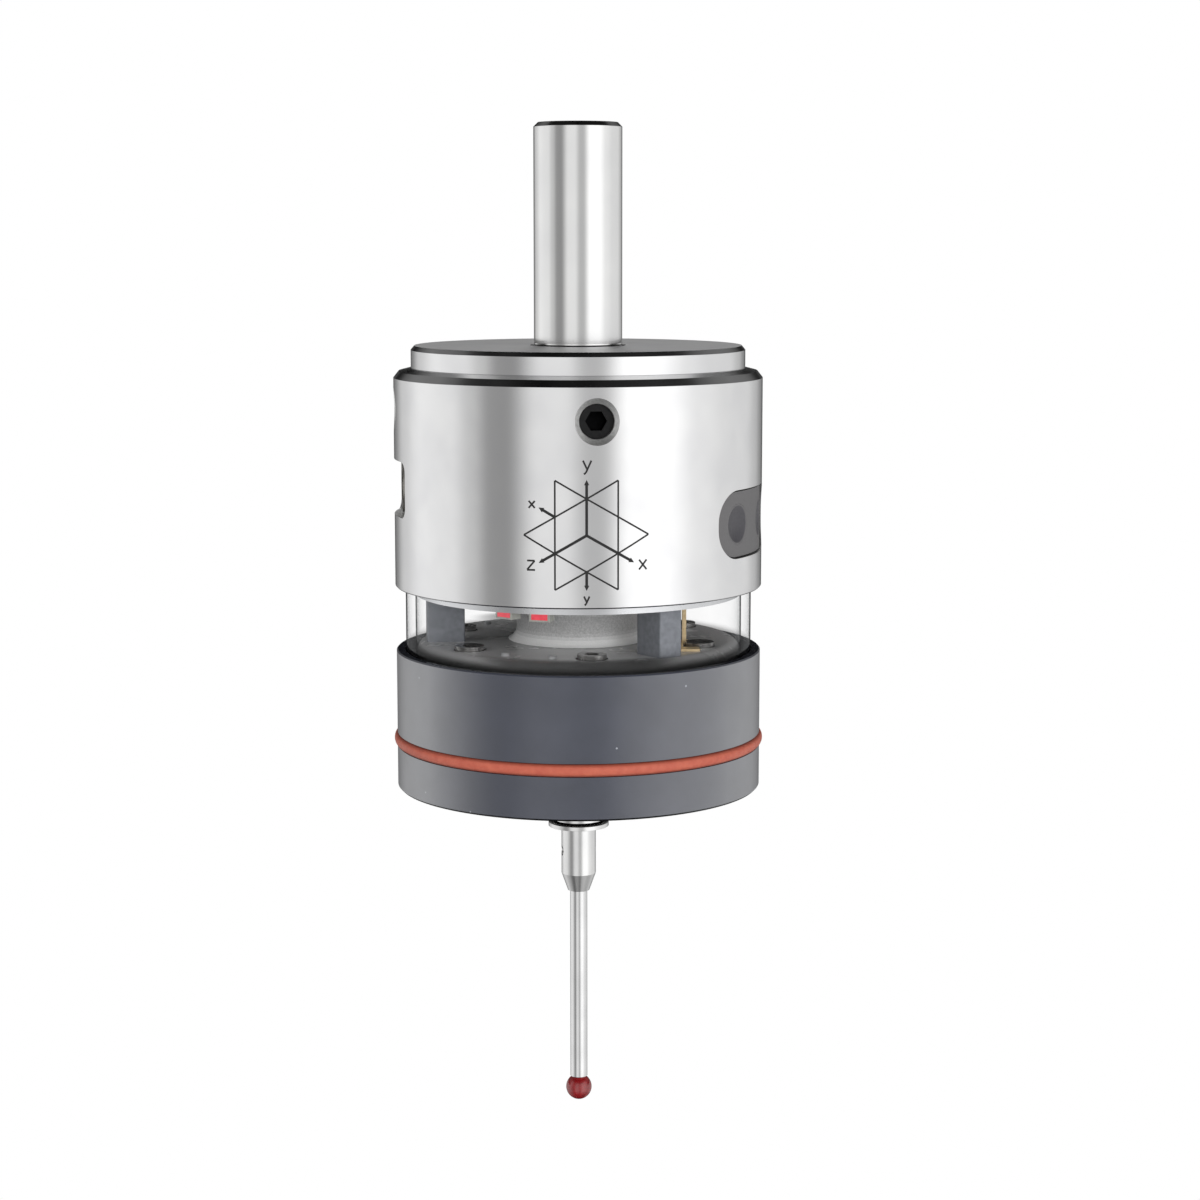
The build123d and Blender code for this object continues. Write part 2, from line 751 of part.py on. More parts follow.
with BuildPart() as tie_screws:
    with BuildSketch(Plane.XY.offset(lower_seat)):
        with Locations(*[spot(post_radius, a) for a in post_angles]):
            Circle(tie_head_r)
    extrude(amount=tie_head_height)
    with BuildSketch(Plane.XY.offset(lower_seat + tie_head_height)):
        with Locations(*[spot(post_radius, a) for a in post_angles]):
            Circle(tie_screw_dia / 2)
    extrude(amount=upper_seat + tie_engagement - lower_seat - tie_head_height)
    with BuildSketch(Plane.XY.offset(lower_seat)):
        with Locations(*[spot(post_radius, a) for a in post_angles]):
            RegularPolygon(tie_hex / 2, 6, major_radius=False)
    extrude(amount=tie_head_height * hex_depth_share, mode=Mode.SUBTRACT)
tie_screws.part.label = "tie_screws"
export_step(tie_screws.part, "parts/tie_screws.step")

# Base plate: dark insulating plate with a rounded rim, six screws and the spring housing's hole
plate_screw_spots = [spot(plate_screw_radius, 360 / plate_screw_count * i) for i in range(plate_screw_count)]
with BuildPart() as base_plate:
    with BuildSketch(Plane.XZ):
        with BuildLine():
            rim_in = plate_r - base_rim_round
            Line((boss_spigot_r + screw_clearance, base_top), (rim_in, base_top))
            RadiusArc((rim_in, base_top), (plate_r, base_top - base_rim_round), base_rim_round)
            Polyline(
                (plate_r, base_top - base_rim_round),
                (plate_r, lower_seat),
                (boss_spigot_r + screw_clearance, lower_seat),
                (boss_spigot_r + screw_clearance, base_top),
            )
        make_face()
    revolve(axis=Axis.Z)
    with BuildSketch(Plane.XY.offset(base_top)):
        with Locations(*plate_screw_spots):
            Circle(plate_screw_dia / 2 + edge_break)
        with Locations(*[spot(post_radius, a) for a in post_angles]):
            Circle(tie_screw_dia / 2 + edge_break)
    extrude(amount=-(base_top - lower_seat), mode=Mode.SUBTRACT)
    with BuildSketch(Plane.XY.offset(plate_head_seat)):
        with Locations(*plate_screw_spots):
            Circle(plate_head_r + edge_break)
    extrude(amount=base_top - plate_head_seat, mode=Mode.SUBTRACT)
    with BuildSketch(Plane.XY.offset(lower_seat)):
        with Locations(*[spot(post_radius, a) for a in post_angles]):
            Circle(tie_head_r + edge_break)
    extrude(amount=tie_head_height, mode=Mode.SUBTRACT)
base_plate.part.label = "base_plate"
export_step(base_plate.part, "parts/base_plate.step")

with BuildPart() as plate_screws:
    with BuildSketch(Plane.XY.offset(plate_head_seat)):
        with Locations(*plate_screw_spots):
            Circle(plate_head_r)
    extrude(amount=plate_head_height)
    with BuildSketch(Plane.XY.offset(plate_head_seat)):
        with Locations(*plate_screw_spots):
            Circle(plate_screw_dia / 2)
    extrude(amount=-plate_screw_len)
    with BuildSketch(Plane.XY.offset(plate_head_seat + plate_head_height)):
        with Locations(*plate_screw_spots):
            RegularPolygon(plate_hex / 2, 6, major_radius=False)
    extrude(amount=-plate_head_height * hex_depth_share, mode=Mode.SUBTRACT)
plate_screws.part.label = "plate_screws"
export_step(plate_screws.part, "parts/plate_screws.step")

with BuildPart() as contact_pads:
    with BuildSketch(Plane.XY.offset(base_top)):
        with Locations(*[spot(pad_radius, a) for a in pad_angles]):
            Circle(pad_dia / 2)
    extrude(amount=pad_height)
contact_pads.part.label = "contact_pads"
export_step(contact_pads.part, "parts/contact_pads.step")

# Contact strip: bent brass strip between the base plate and the lamp board. Its foot is a thin rail that
# passes a plate screw and ends in a tab.
with BuildPart() as contact_strip:
    strip_at = Plane(
        origin=(*spot(strip_radius, strip_angle), base_top),
        x_dir=(cos(radians(strip_turn_angle)), sin(radians(strip_turn_angle)), 0),
        z_dir=(0, 0, 1),
    )
    with BuildSketch(strip_at):
        Rectangle(strip_thickness, strip_width)
    extrude(amount=upper_seat - base_top)
    with BuildSketch(strip_at):
        Rectangle(2 * foot_rail_width, strip_width)
        rail_edge = -foot_rail_width - foot_rail_width / 2
        with Locations((rail_edge, strip_width / 2)):
            Rectangle(foot_rail_width, foot_rail_len, align=(Align.MIN, Align.MAX))
        with Locations((rail_edge, strip_width / 2 - foot_rail_len)):
            Rectangle(foot_tab_len, foot_tab_width, align=Align.MIN)
    extrude(amount=foot_thickness)
contact_strip.part.label = "contact_strip"
export_step(contact_strip.part, "parts/contact_strip.step")

# Lower housing: turned cup with the exit hole for the stylus, a ring groove and six tapped holes
with BuildPart() as lower_housing:
    with BuildSketch(Plane.XZ):
        with BuildLine():
            groove_half = ring_section / 2 + plate_clearance
            Polyline(
                (window_socket_r, lower_rim),
                (lower_r - edge_break, lower_rim),
                (lower_r, lower_rim - edge_break),
                (lower_r, ring_z + groove_half),
                (groove_r, ring_z + groove_half),
                (groove_r, ring_z - groove_half),
                (lower_r, ring_z - groove_half),
                (lower_r, lower_bottom + edge_break),
                (lower_r - edge_break, lower_bottom),
                (exit_r + exit_mouth_width, lower_bottom),
                (exit_r, lower_bottom + exit_mouth_depth),
                (exit_r, floor_top),
                (bore_r, floor_top),
                (bore_r, lower_seat),
                (window_socket_r, lower_seat),
                close=True,
            )
        make_face()
    revolve(axis=Axis.Z)
    with BuildSketch(Plane.XY.offset(lower_seat)):
        with Locations(*plate_screw_spots):
            Circle(plate_screw_dia / 2 + screw_clearance)
    extrude(amount=-plate_screw_len, mode=Mode.SUBTRACT)
lower_housing.part.label = "lower_housing"
export_step(lower_housing.part, "parts/lower_housing.step")

with BuildPart() as o_ring:
    with Locations((0, 0, ring_z)):
        Torus(ring_centre_r, ring_section / 2)
o_ring.part.label = "o_ring"
export_step(o_ring.part, "parts/o_ring.step")

# Spring housing: domed drum with a flared foot on the base plate and a spigot in its hole
with BuildPart() as spring_housing:
    with BuildSketch(Plane.XZ):
        with BuildLine():
            flare_top = base_top + boss_flare_height
            foot_r = boss_r + boss_flare_width
            bush_hole = bush_outer_r + screw_clearance
            Line((bush_hole, boss_top), (boss_r - boss_round, boss_top))
            RadiusArc((boss_r - boss_round, boss_top), (boss_r, boss_top - boss_round), boss_round)
            Line((boss_r, boss_top - boss_round), (boss_r, flare_top))
            RadiusArc((boss_r, flare_top), (foot_r, base_top), -boss_flare_height)
            Polyline(
                (foot_r, base_top),
                (boss_spigot_r, base_top),
                (boss_spigot_r, boss_bottom),
                (boss_bore_r, boss_bottom),
                (boss_bore_r, boss_top - boss_roof),
                (bush_hole, boss_top - boss_roof),
                (bush_hole, boss_top),
            )
        make_face()
    revolve(axis=Axis.Z)
spring_housing.part.label = "spring_housing"
export_step(spring_housing.part, "parts/spring_housing.step")

# Guide bush: flanged brass tube that the plunger's pin slides in
with BuildPart() as guide_bush:
    with BuildSketch(Plane.XZ):
        with BuildLine():
            bush_bore = pin_dia / 2 + running_clearance
            Polyline(
                (bush_bore, bush_top),
                (bush_flange_r, bush_top),
                (bush_flange_r, boss_top),
                (bush_outer_r, boss_top),
                (bush_outer_r, boss_top - bush_len),
                (bush_bore, boss_top - bush_len),
                close=True,
            )
        make_face()
    revolve(axis=Axis.Z)
guide_bush.part.label = "guide_bush"
export_step(guide_bush.part, "parts/guide_bush.step")

# Plunge spring: coil between the spring housing's roof and the plunger's plate
spring_low = plunger_plate_top + spring_wire / 2
spring_high = boss_top - boss_roof - spring_wire / 2
spring_pitch = (spring_high - spring_low) / spring_turns
with BuildPart() as plunge_spring:
    with BuildLine():
        coil = Helix(spring_pitch, spring_high - spring_low, spring_mean_r, center=(0, 0, spring_low))
    with BuildSketch(Plane(origin=coil @ 0, z_dir=coil % 0)):
        Circle(spring_wire / 2)
    sweep(path=coil, is_frenet=True)
plunge_spring.part.label = "plunge_spring"
export_step(plunge_spring.part, "parts/plunge_spring.step")

# Plunger: guide pin, spring plate and the upper half of the pivot ball's cup
with BuildPart() as plunger:
    with BuildSketch(Plane.XZ):
        with BuildLine():
            plate_low = plunger_plate_top - plunger_plate_thickness
            pin_top = bush_top + pin_rise
            cup_rim = pivot_z + cup_half_gap
            cup_rim_r = sqrt(cup_r**2 - cup_half_gap**2)
            clip_top = clip_bottom + clip_thickness
            Polyline(
                (0, pivot_z + cup_r),
                (0, pin_top),
                (pin_dia / 2 - edge_break, pin_top),
                (pin_dia / 2, pin_top - edge_break),
                (pin_dia / 2, clip_top),
                (clip_groove_r, clip_top),
                (clip_groove_r, clip_bottom),
                (pin_dia / 2, clip_bottom),
                (pin_dia / 2, plunger_plate_top),
                (plunger_plate_r, plunger_plate_top),
                (plunger_plate_r, plate_low),
                (cup_r + cup_wall, plate_low),
                (cup_r + cup_wall, cup_rim),
                (cup_rim_r, cup_rim),
            )
            RadiusArc((cup_rim_r, cup_rim), (0, pivot_z + cup_r), -cup_r)
        make_face()
    revolve(axis=Axis.Z)
plunger.part.label = "plunger"
export_step(plunger.part, "parts/plunger.step")

with BuildPart() as retaining_clip:
    with BuildSketch(Plane.XY.offset(clip_bottom)):
        Circle(clip_groove_r + clip_width)
        Circle(clip_groove_r + screw_clearance, mode=Mode.SUBTRACT)
        with Locations((0, clip_groove_r + clip_width)):
            Rectangle(clip_groove_r, 2 * (clip_groove_r + clip_width), mode=Mode.SUBTRACT)
    extrude(amount=clip_thickness)
retaining_clip.part.label = "retaining_clip"
export_step(retaining_clip.part, "parts/retaining_clip.step")

with BuildPart() as pivot_ball:
    with Locations((0, 0, pivot_z)):
        Sphere(pivot_dia / 2)
pivot_ball.part.label = "pivot_ball"
export_step(pivot_ball.part, "parts/pivot_ball.step")

# Contact ring: insulating seat ring on the housing's floor with sockets for three contact balls
seat_spots = [
    (*spot(seat_ball_radius, seat_ball_first_angle + 360 / seat_ball_count * i), seat_ball_z)
    for i in range(seat_ball_count)
]
with BuildPart() as contact_ring:
    with BuildSketch(Plane.XY.offset(floor_top)):
        Circle(bore_r - fit_clearance)
        Circle(seat_ball_radius - seat_ring_margin, mode=Mode.SUBTRACT)
    extrude(amount=seat_ball_z - seat_ball_stand - floor_top)
    with Locations(*seat_spots):
        Sphere(seat_ball_dia / 2 + screw_clearance / 2, mode=Mode.SUBTRACT)
contact_ring.part.label = "contact_ring"
export_step(contact_ring.part, "parts/contact_ring.step")

with BuildPart() as contact_balls:
    with Locations(*seat_spots):
        Sphere(seat_ball_dia / 2)
contact_balls.part.label = "contact_balls"
export_step(contact_balls.part, "parts/contact_balls.step")

# Carrier: dome on the three balls with the cup's lower half, and a neck with the stylus flange
with BuildPart() as carrier:
    with BuildSketch(Plane.XZ):
        with BuildLine():
            socket_r = sqrt(cup_r**2 - carrier_face_drop**2)
            dome_face_r = sqrt(dome_r**2 - carrier_face_drop**2)
            dome_low = pivot_z - sqrt(dome_r**2 - (neck_dia / 2) ** 2)
            stud_hole = stylus_stud_dia / 2 + screw_clearance
            stud_top = flange_bottom + stylus_stud_len + edge_break
            RadiusArc((0, pivot_z - cup_r), (socket_r, carrier_face), -cup_r)
            Line((socket_r, carrier_face), (dome_face_r, carrier_face))
            RadiusArc((dome_face_r, carrier_face), (neck_dia / 2, dome_low), dome_r)
            Polyline(
                (neck_dia / 2, dome_low),
                (neck_dia / 2, flange_top),
                (neck_flange_r - flange_chamfer, flange_top),
                (neck_flange_r, flange_top - flange_chamfer),
                (neck_flange_r, flange_bottom),
                (stud_hole, flange_bottom),
                (stud_hole, stud_top),
                (0, stud_top),
                (0, pivot_z - cup_r),
            )
        make_face()
    revolve(axis=Axis.Z)
carrier.part.label = "carrier"
export_step(carrier.part, "parts/carrier.step")

# Stylus base: steel holder with a stud, a cross hole for the tightening pin and a tapered end
with BuildPart() as stylus_base:
    with BuildSketch(Plane.XZ):
        with BuildLine():
            stem_hole = stylus_stem_dia / 2 + screw_clearance
            Polyline(
                (0, flange_bottom + stylus_stud_len),
                (stylus_stud_dia / 2, flange_bottom + stylus_stud_len),
                (stylus_stud_dia / 2, flange_bottom),
                (stylus_base_dia / 2, flange_bottom),
                (stylus_base_dia / 2, stylus_base_end),
                (stylus_base_dia / 2 - stylus_taper_width, stylus_taper_end),
                (stem_hole, stylus_taper_end),
                (stem_hole, stylus_taper_end + stem_socket),
                (0, stylus_taper_end + stem_socket),
                close=True,
            )
        make_face()
    revolve(axis=Axis.Z)
    with BuildSketch(outward(cross_hole_angle, flange_bottom - cross_hole_drop)):
        Circle(cross_hole_dia / 2)
    extrude(amount=stylus_base_dia, both=True, mode=Mode.SUBTRACT)
stylus_base.part.label = "stylus_base"
export_step(stylus_base.part, "parts/stylus_base.step")

with BuildPart() as stylus_stem:
    stem_bottom = tip_z + tip_dia / 2 - tip_bore_depth
    with BuildSketch(Plane.XY.offset(stem_bottom)):
        Circle(stylus_stem_dia / 2)
    extrude(amount=stylus_taper_end + stem_socket - stem_bottom)
stylus_stem.part.label = "stylus_stem"
export_step(stylus_stem.part, "parts/stylus_stem.step")

# Ruby ball with a blind bore that the stem is bonded in
with BuildPart() as ruby_ball:
    with Locations((0, 0, tip_z)):
        Sphere(tip_dia / 2)
    with BuildSketch(Plane.XY.offset(stem_bottom)):
        Circle(stylus_stem_dia / 2 + screw_clearance / 2)
    extrude(amount=tip_dia, mode=Mode.SUBTRACT)
ruby_ball.part.label = "ruby_ball"
export_step(ruby_ball.part, "parts/ruby_ball.step")
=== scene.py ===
# %% [markdown]
# A three-dimensional edge finder in Blender
#
# This lesson dresses a measured model of a three-dimensional edge finder: a touch probe that a milling
# spindle holds by its shank, to find the edges and corners of a workpiece. The solids come from CAD and
# stay where they are. Blender adds what a camera sees: fine edges, finishes, a marked diagram and light.

# %% Load the model
from math import cos, pi, radians, sin

import bpy
import numpy as np
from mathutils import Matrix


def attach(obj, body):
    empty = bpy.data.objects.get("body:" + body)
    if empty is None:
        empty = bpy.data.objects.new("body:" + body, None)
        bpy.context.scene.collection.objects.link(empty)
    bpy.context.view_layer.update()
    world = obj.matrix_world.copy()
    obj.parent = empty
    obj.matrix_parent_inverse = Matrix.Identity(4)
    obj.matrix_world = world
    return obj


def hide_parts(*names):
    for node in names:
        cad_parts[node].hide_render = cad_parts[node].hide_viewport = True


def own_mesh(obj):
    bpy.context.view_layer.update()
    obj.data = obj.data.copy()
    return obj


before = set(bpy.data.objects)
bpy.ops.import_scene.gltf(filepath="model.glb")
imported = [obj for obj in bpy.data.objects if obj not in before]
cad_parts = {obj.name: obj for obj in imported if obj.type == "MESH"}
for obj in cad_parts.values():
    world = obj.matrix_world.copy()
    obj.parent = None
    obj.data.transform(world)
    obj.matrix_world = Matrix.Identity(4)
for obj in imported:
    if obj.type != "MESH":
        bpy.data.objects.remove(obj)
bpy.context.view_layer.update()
MM = 0.001

# %% [markdown]
# The camera
#
# A photograph has one viewpoint, and a model only lines up with it from there. The camera's place could
# be found by eye, but turned parts make it easy to work out: each round edge shows as an ellipse, and how
# flat that ellipse is says how far the camera looks down. Here it looks down 8 degrees from 297 mm away,
# a little to the left of the front screw, which is why that screw sits right of the middle.

# %% Camera
camera_turn = radians(-6.09)
camera_pitch = radians(8.074)
camera_away, camera_side, camera_height = 297.08, 2.488, 12.908
focal_pixels, image_pixels, sensor_mm = 2608.58, 1200, 36.0

lens = bpy.data.cameras.new("photo_camera")
lens.sensor_width = sensor_mm
lens.lens = sensor_mm * focal_pixels / image_pixels
lens.clip_start, lens.clip_end = 0.01, 10.0
camera = bpy.data.objects.new("photo_camera", lens)
camera.location = (
    MM * (camera_away * sin(camera_turn) + camera_side * cos(camera_turn)),
    MM * (-camera_away * cos(camera_turn) + camera_side * sin(camera_turn)),
    MM * camera_height,
)
camera.rotation_euler = (pi / 2 - camera_pitch, 0, camera_turn)
bpy.context.scene.collection.objects.link(camera)
bpy.context.scene.camera = camera
bpy.context.scene.view_settings.view_transform = "Standard"
print("lens", round(lens.lens, 2), "mm, camera at", [round(v, 4) for v in camera.location])

# %% [markdown]
# Three small helpers
#
# Every material below is a small tree of nodes. One function turns a colour as a painter writes it, in
# sRGB hex, into the linear values that Blender works in. Another adds a node, sets it up and wires it:
# a plain value fills a socket, and another node's output is linked to it. The third sets the stops of a
# colour ramp, which the studio's light needs.


# %% Helpers for node trees
def linear(hex_code):
    """sRGB hex to linear RGBA: each channel is undone from the display curve."""
    srgb = np.array([int(hex_code[i : i + 2], 16) for i in (1, 3, 5)]) / 255
    low, high = srgb / 12.92, ((srgb + 0.055) / 1.055) ** 2.4
    return (*np.where(srgb <= 0.04045, low, high).tolist(), 1.0)


def add(tree, kind, settings=None, sockets=None):
    """Adds a node of a kind with its settings. The kind is Blender's own name for it, and a shader node's
    name goes without the word ShaderNode. A socket gets a value or, if it is given an output, a link. A
    node in place of an output stands for the first of its outputs that is in use."""
    node = tree.nodes.new(kind if "Node" in kind else "ShaderNode" + kind)
    for name, value in (settings or {}).items():
        setattr(node, name, value)
    for name, value in (sockets or {}).items():
        if isinstance(value, bpy.types.Node):
            value = next(output for output in value.outputs if output.enabled)
        if isinstance(value, bpy.types.NodeSocket):
            tree.links.new(value, node.inputs[name])
        else:
            node.inputs[name].default_value = value
    return node


# A mix node has several sockets of each name, so its two colours go by their numbers
COLOUR_A, COLOUR_B = 6, 7
OF_COLOURS = {"data_type": "RGBA"}
SMOOTH = {"interpolation_type": "SMOOTHSTEP"}


def fill_ramp(node, stops):
    """Sets a colour ramp's eased stops from a list of (place from 0 to 1, grey level)."""
    ramp = node.color_ramp
    ramp.interpolation = "EASE"
    while len(ramp.elements) < len(stops):
        ramp.elements.new(1.0)
    for element, (place, level) in zip(ramp.elements, stops):
        element.position = place
        element.color = (level, level, level, 1)


# %% [markdown]
# The studio
#
# Polished turned metal has almost no look of its own: it shows the room. A vertical cylinder squeezes
# the whole horizon into upright stripes, so its stripes say where the photographer put white screens
# and black flags. A bevel looks up and tells of the ceiling, and the flat top looks straight behind. The
# room could be built from emitting planes. A world that gets its level from the direction is smoother,
# and it stays put when the camera goes round the object. The camera sees plain white behind the object.

# %% Studio walls as a world
# Turning points of the light round the object: degrees from the front, positive to the right, and level
studio_walls = [
    (-178, 0.02), (-164, 0.24), (-144, 0.70), (-120, 1.0), (-90, 0.92), (-74, 0.64), (-61, 0.34),
    (-50, 0.32), (-30, 0.92), (-14, 0.92), (1, 0.56), (8, 0.56), (27, 1.32), (50, 1.34), (74, 0.98),
    (98, 0.86), (120, 0.82), (138, 0.57), (150, 0.31), (164, 0.05),
]
# How the walls fade with height: degrees above the horizon, and share of the level
front_heights = [
    (-90, 0.04), (-65, 0.12), (-48, 0.45), (-28, 0.9), (-12, 1), (14, 1), (33, 0.8), (46, 0.18), (55, 0.03),
    (72, 0.01),
]
rear_heights = [
    (-90, 0.04), (-65, 0.1), (-48, 0.4), (-28, 0.9), (-10, 1), (3, 1), (8, 0.05), (11, 0.04), (18, 0.26),
    (26, 0.28), (37, 0.2), (44, 0.13), (49, 0.03), (55, 0.01),
]

world = bpy.data.worlds.new("studio")
world.use_nodes = True
bpy.context.scene.world = world
room = world.node_tree
room.nodes.clear()
way = add(room, "TexCoord").outputs["Generated"]
direction = add(room, "SeparateXYZ", {}, {0: way}).outputs
front = add(room, "Math", {"operation": "MULTIPLY"}, {0: direction["Y"], 1: -1.0})
bearing = add(room, "Math", {"operation": "ARCTAN2"}, {0: direction["X"], 1: front})
around = add(room, "MapRange", {}, {"Value": bearing, "From Min": -pi, "From Max": pi})
walls = add(room, "ValToRGB", {}, {"Fac": around})
fill_ramp(walls, [((a + 180) / 360, level) for a, level in studio_walls])
height = add(room, "Math", {"operation": "ARCSINE"}, {0: direction["Z"]})
up = add(room, "MapRange", {}, {"Value": height, "From Min": -pi / 2, "From Max": pi / 2})
front_fade, rear_fade = (add(room, "ValToRGB", {}, {"Fac": up}) for side in range(2))
fill_ramp(front_fade, [((h + 90) / 180, share) for h, share in front_heights])
fill_ramp(rear_fade, [((h + 90) / 180, share) for h, share in rear_heights])
turned_by = add(room, "Math", {"operation": "SUBTRACT"}, {0: bearing, 1: camera_turn})
off_front = add(room, "Math", {"operation": "ABSOLUTE"}, {0: turned_by})
rear = add(room, "MapRange", SMOOTH,
           {"Value": off_front, "From Min": radians(80), "From Max": radians(100)})
fade = add(room, "Mix", OF_COLOURS, {"Factor": rear, COLOUR_A: front_fade, COLOUR_B: rear_fade})
wall_light = add(room, "Math", {"operation": "MULTIPLY"}, {0: walls, 1: fade})

# A soft panel above and behind the object, which only the flat top mirrors: its middle, reach and level
panel_height, panel_half, panel_soft, panel_level = radians(34), radians(8), radians(18), 0.94
panel_way = (-sin(camera_turn) * cos(panel_height), cos(camera_turn) * cos(panel_height), sin(panel_height))
toward = add(room, "VectorMath", {"operation": "DOT_PRODUCT"}, {0: way, 1: panel_way})
panel_edge, panel_core = cos(panel_soft), cos(panel_half)
panel = add(room, "MapRange", SMOOTH,
            {"Value": toward, "From Min": panel_edge, "From Max": panel_core, "To Max": panel_level})
total = add(room, "Math", {"operation": "ADD"}, {0: wall_light, 1: panel})
studio = add(room, "Background", {}, {"Color": linear("#ffffff"), "Strength": total})
paper = add(room, "Background", {}, {"Color": linear("#ffffff"), "Strength": 1.0})
seen = add(room, "LightPath").outputs["Is Camera Ray"]
shown = add(room, "MixShader", {}, {0: seen, 1: studio, 2: paper})
add(room, "OutputWorld", {}, {"Surface": shown})
print("studio:", len(studio_walls), "levels round,", len(front_heights), "and", len(rear_heights), "up")

# %% [markdown]
# Soft lamps and the floor
#
# The walls alone leave dull surfaces a little dark, so three large soft lamps bring them to a plain
# level. They are hidden from reflections, because the stripes on the metal already tell of the walls.
# The floor is pale and far below, because the probe hangs from a spindle.


# %% Lamps and floor
def soft_lamp(name, bearing_deg, height_deg, side, watts, away=0.9, aim_z=-30 * MM):
    """Square area lamp at a bearing and height, in degrees, that faces the middle of the object."""
    lamp = bpy.data.lights.new(name, "AREA")
    lamp.size, lamp.energy = side, watts
    holder = bpy.data.objects.new(name, lamp)
    a, h = radians(bearing_deg), radians(height_deg)
    holder.location = (away * cos(h) * sin(a), -away * cos(h) * cos(a), away * sin(h) + aim_z)
    holder.rotation_euler = (pi / 2 - h, 0, a)
    holder.visible_glossy = False
    holder.visible_camera = False
    bpy.context.scene.collection.objects.link(holder)


soft_lamp("front_lamp", 12, 12, 0.5, 4.8)
soft_lamp("left_lamp", -70, 25, 0.5, 2.2)
soft_lamp("rear_lamp", 170, 40, 0.6, 2.4)

floor_radius, floor_drop, floor_corners = 0.8, -0.45, 96
turns = np.linspace(0, 2 * pi, floor_corners, endpoint=False)
depth = np.full(floor_corners, floor_drop)
rim = np.column_stack([floor_radius * np.cos(turns), floor_radius * np.sin(turns), depth])
floor_mesh = bpy.data.meshes.new("floor")
floor_mesh.from_pydata(rim.tolist(), [], [list(range(floor_corners))])
floor = bpy.data.objects.new("floor", floor_mesh)
bpy.context.scene.collection.objects.link(floor)
floor.visible_glossy = False
floor_paint = bpy.data.materials.new("pale_floor")
floor_paint.use_nodes = True
tree = floor_paint.node_tree
tree.nodes.clear()
matt = add(tree, "BsdfDiffuse", {}, {"Color": linear("#e6e6e4")})
white = add(tree, "Emission", {}, {"Color": linear("#ffffff"), "Strength": 1.0})
seen = add(tree, "LightPath").outputs["Is Camera Ray"]
shown = add(tree, "MixShader", {}, {0: seen, 1: matt, 2: white})
add(tree, "OutputMaterial", {}, {"Surface": shown})
floor_mesh.materials.append(floor_paint)
print("floor", floor_drop, "m below the shoulder")

# %% [markdown]
# Turned metal
#
# The shank is ground and the housing is fine-turned, so both carry rings too fine to see one by one.
# They show as a slight blur and as faint stripes round the piece. The pattern only depends on the
# distance from the axis and on the height: both together give one number that steps from ring to ring
# on a wall and on a face alike. A second, cloudy pattern stands for handling marks.


# %% Patterns for finishes
def soft_finish(name, light, dark, size_mm, rough, relief_mm=0.0, detail=3.0, strength=0.3):
    """Starts a finish with soft noise in patches of about a size. It mixes two colours, spreads the
    roughness over a range and, where it can be felt, raises a relief. Most of the noise lies between 0.3
    and 0.7, so that much is taken as the whole of it. Gives the material, its tree, the object
    coordinates and the sockets set so far."""
    material = bpy.data.materials.new(name)
    material.use_nodes = True
    tree = material.node_tree
    tree.nodes.clear()
    place = add(tree, "TexCoord").outputs["Object"]
    noise = add(tree, "TexNoise", {},
                {"Vector": place, "Scale": 1 / (size_mm * MM), "Detail": detail})
    most = {"Value": noise, "From Min": 0.3, "From Max": 0.7}
    share = add(tree, "MapRange", {}, most)
    tone = add(tree, "Mix", OF_COLOURS,
               {"Factor": share, COLOUR_A: linear(light), COLOUR_B: linear(dark)})
    blur = add(tree, "MapRange", {}, {**most, "To Min": rough[0], "To Max": rough[1]})
    look = {"Base Color": tone, "Roughness": blur}
    if relief_mm:
        felt = {"Height": noise, "Distance": relief_mm * MM, "Strength": strength}
        look["Normal"] = add(tree, "Bump", {}, felt)
    return material, tree, place, look


def shade(tree, look):
    """The surface's own shader, wired to the output."""
    surface = add(tree, "BsdfPrincipled", {}, look)
    add(tree, "OutputMaterial", {}, {"Surface": surface})


def grained(name, light, dark, size_mm, rough, relief_mm=0.0, more=None, detail=3.0):
    """A fine two-tone finish and what else it has, such as its metallic share or its IOR."""
    material, tree, _, look = soft_finish(name, light, dark, size_mm, rough, relief_mm, detail)
    shade(tree, {**look, **(more or {})})
    return material


def facing_up(tree):
    """How far a surface looks up: 1 on a flat top, 0 on a wall and -1 on an underside."""
    normal = add(tree, "NewGeometry").outputs["Normal"]
    return add(tree, "SeparateXYZ", {}, {0: normal}).outputs["Z"]


def from_axis(tree, place):
    """A place's distance from the axis, the length of its x and y, and its height."""
    split = add(tree, "SeparateXYZ", {}, {0: place}).outputs
    level = add(tree, "CombineXYZ", {}, {"X": split["X"], "Y": split["Y"]})
    return add(tree, "VectorMath", {"operation": "LENGTH"}, {0: level}), split["Z"]


def turned_metal(name, light, dark, rough, pitch_mm, smudge_mm, face=0.0):
    """Metal with handling marks and with turning rings: noise along one number, the distance from the axis
    plus the height, that repeats at the pitch. Flat faces are rougher than walls by the value of face."""
    material, tree, place, look = soft_finish(name, light, dark, smudge_mm, (rough, rough + 0.04), detail=2.0)
    flat = add(tree, "Math", {"operation": "POWER"}, {0: facing_up(tree), 1: 8.0})
    coarse = add(tree, "Math", {"operation": "MULTIPLY_ADD"},
                 {0: flat, 1: face, 2: look["Roughness"]})
    away, height = from_axis(tree, place)
    along = add(tree, "Math", {"operation": "ADD"}, {0: away, 1: height})
    rings = add(tree, "TexNoise", {"noise_dimensions": "1D"},
                {"W": along, "Scale": 1 / (pitch_mm * MM), "Detail": 3.0})
    felt = add(tree, "Bump", {}, {"Height": rings, "Distance": 0.0012 * MM, "Strength": 0.3})
    shade(tree, {**look, "Metallic": 1.0, "Roughness": coarse, "Normal": felt})
    return material


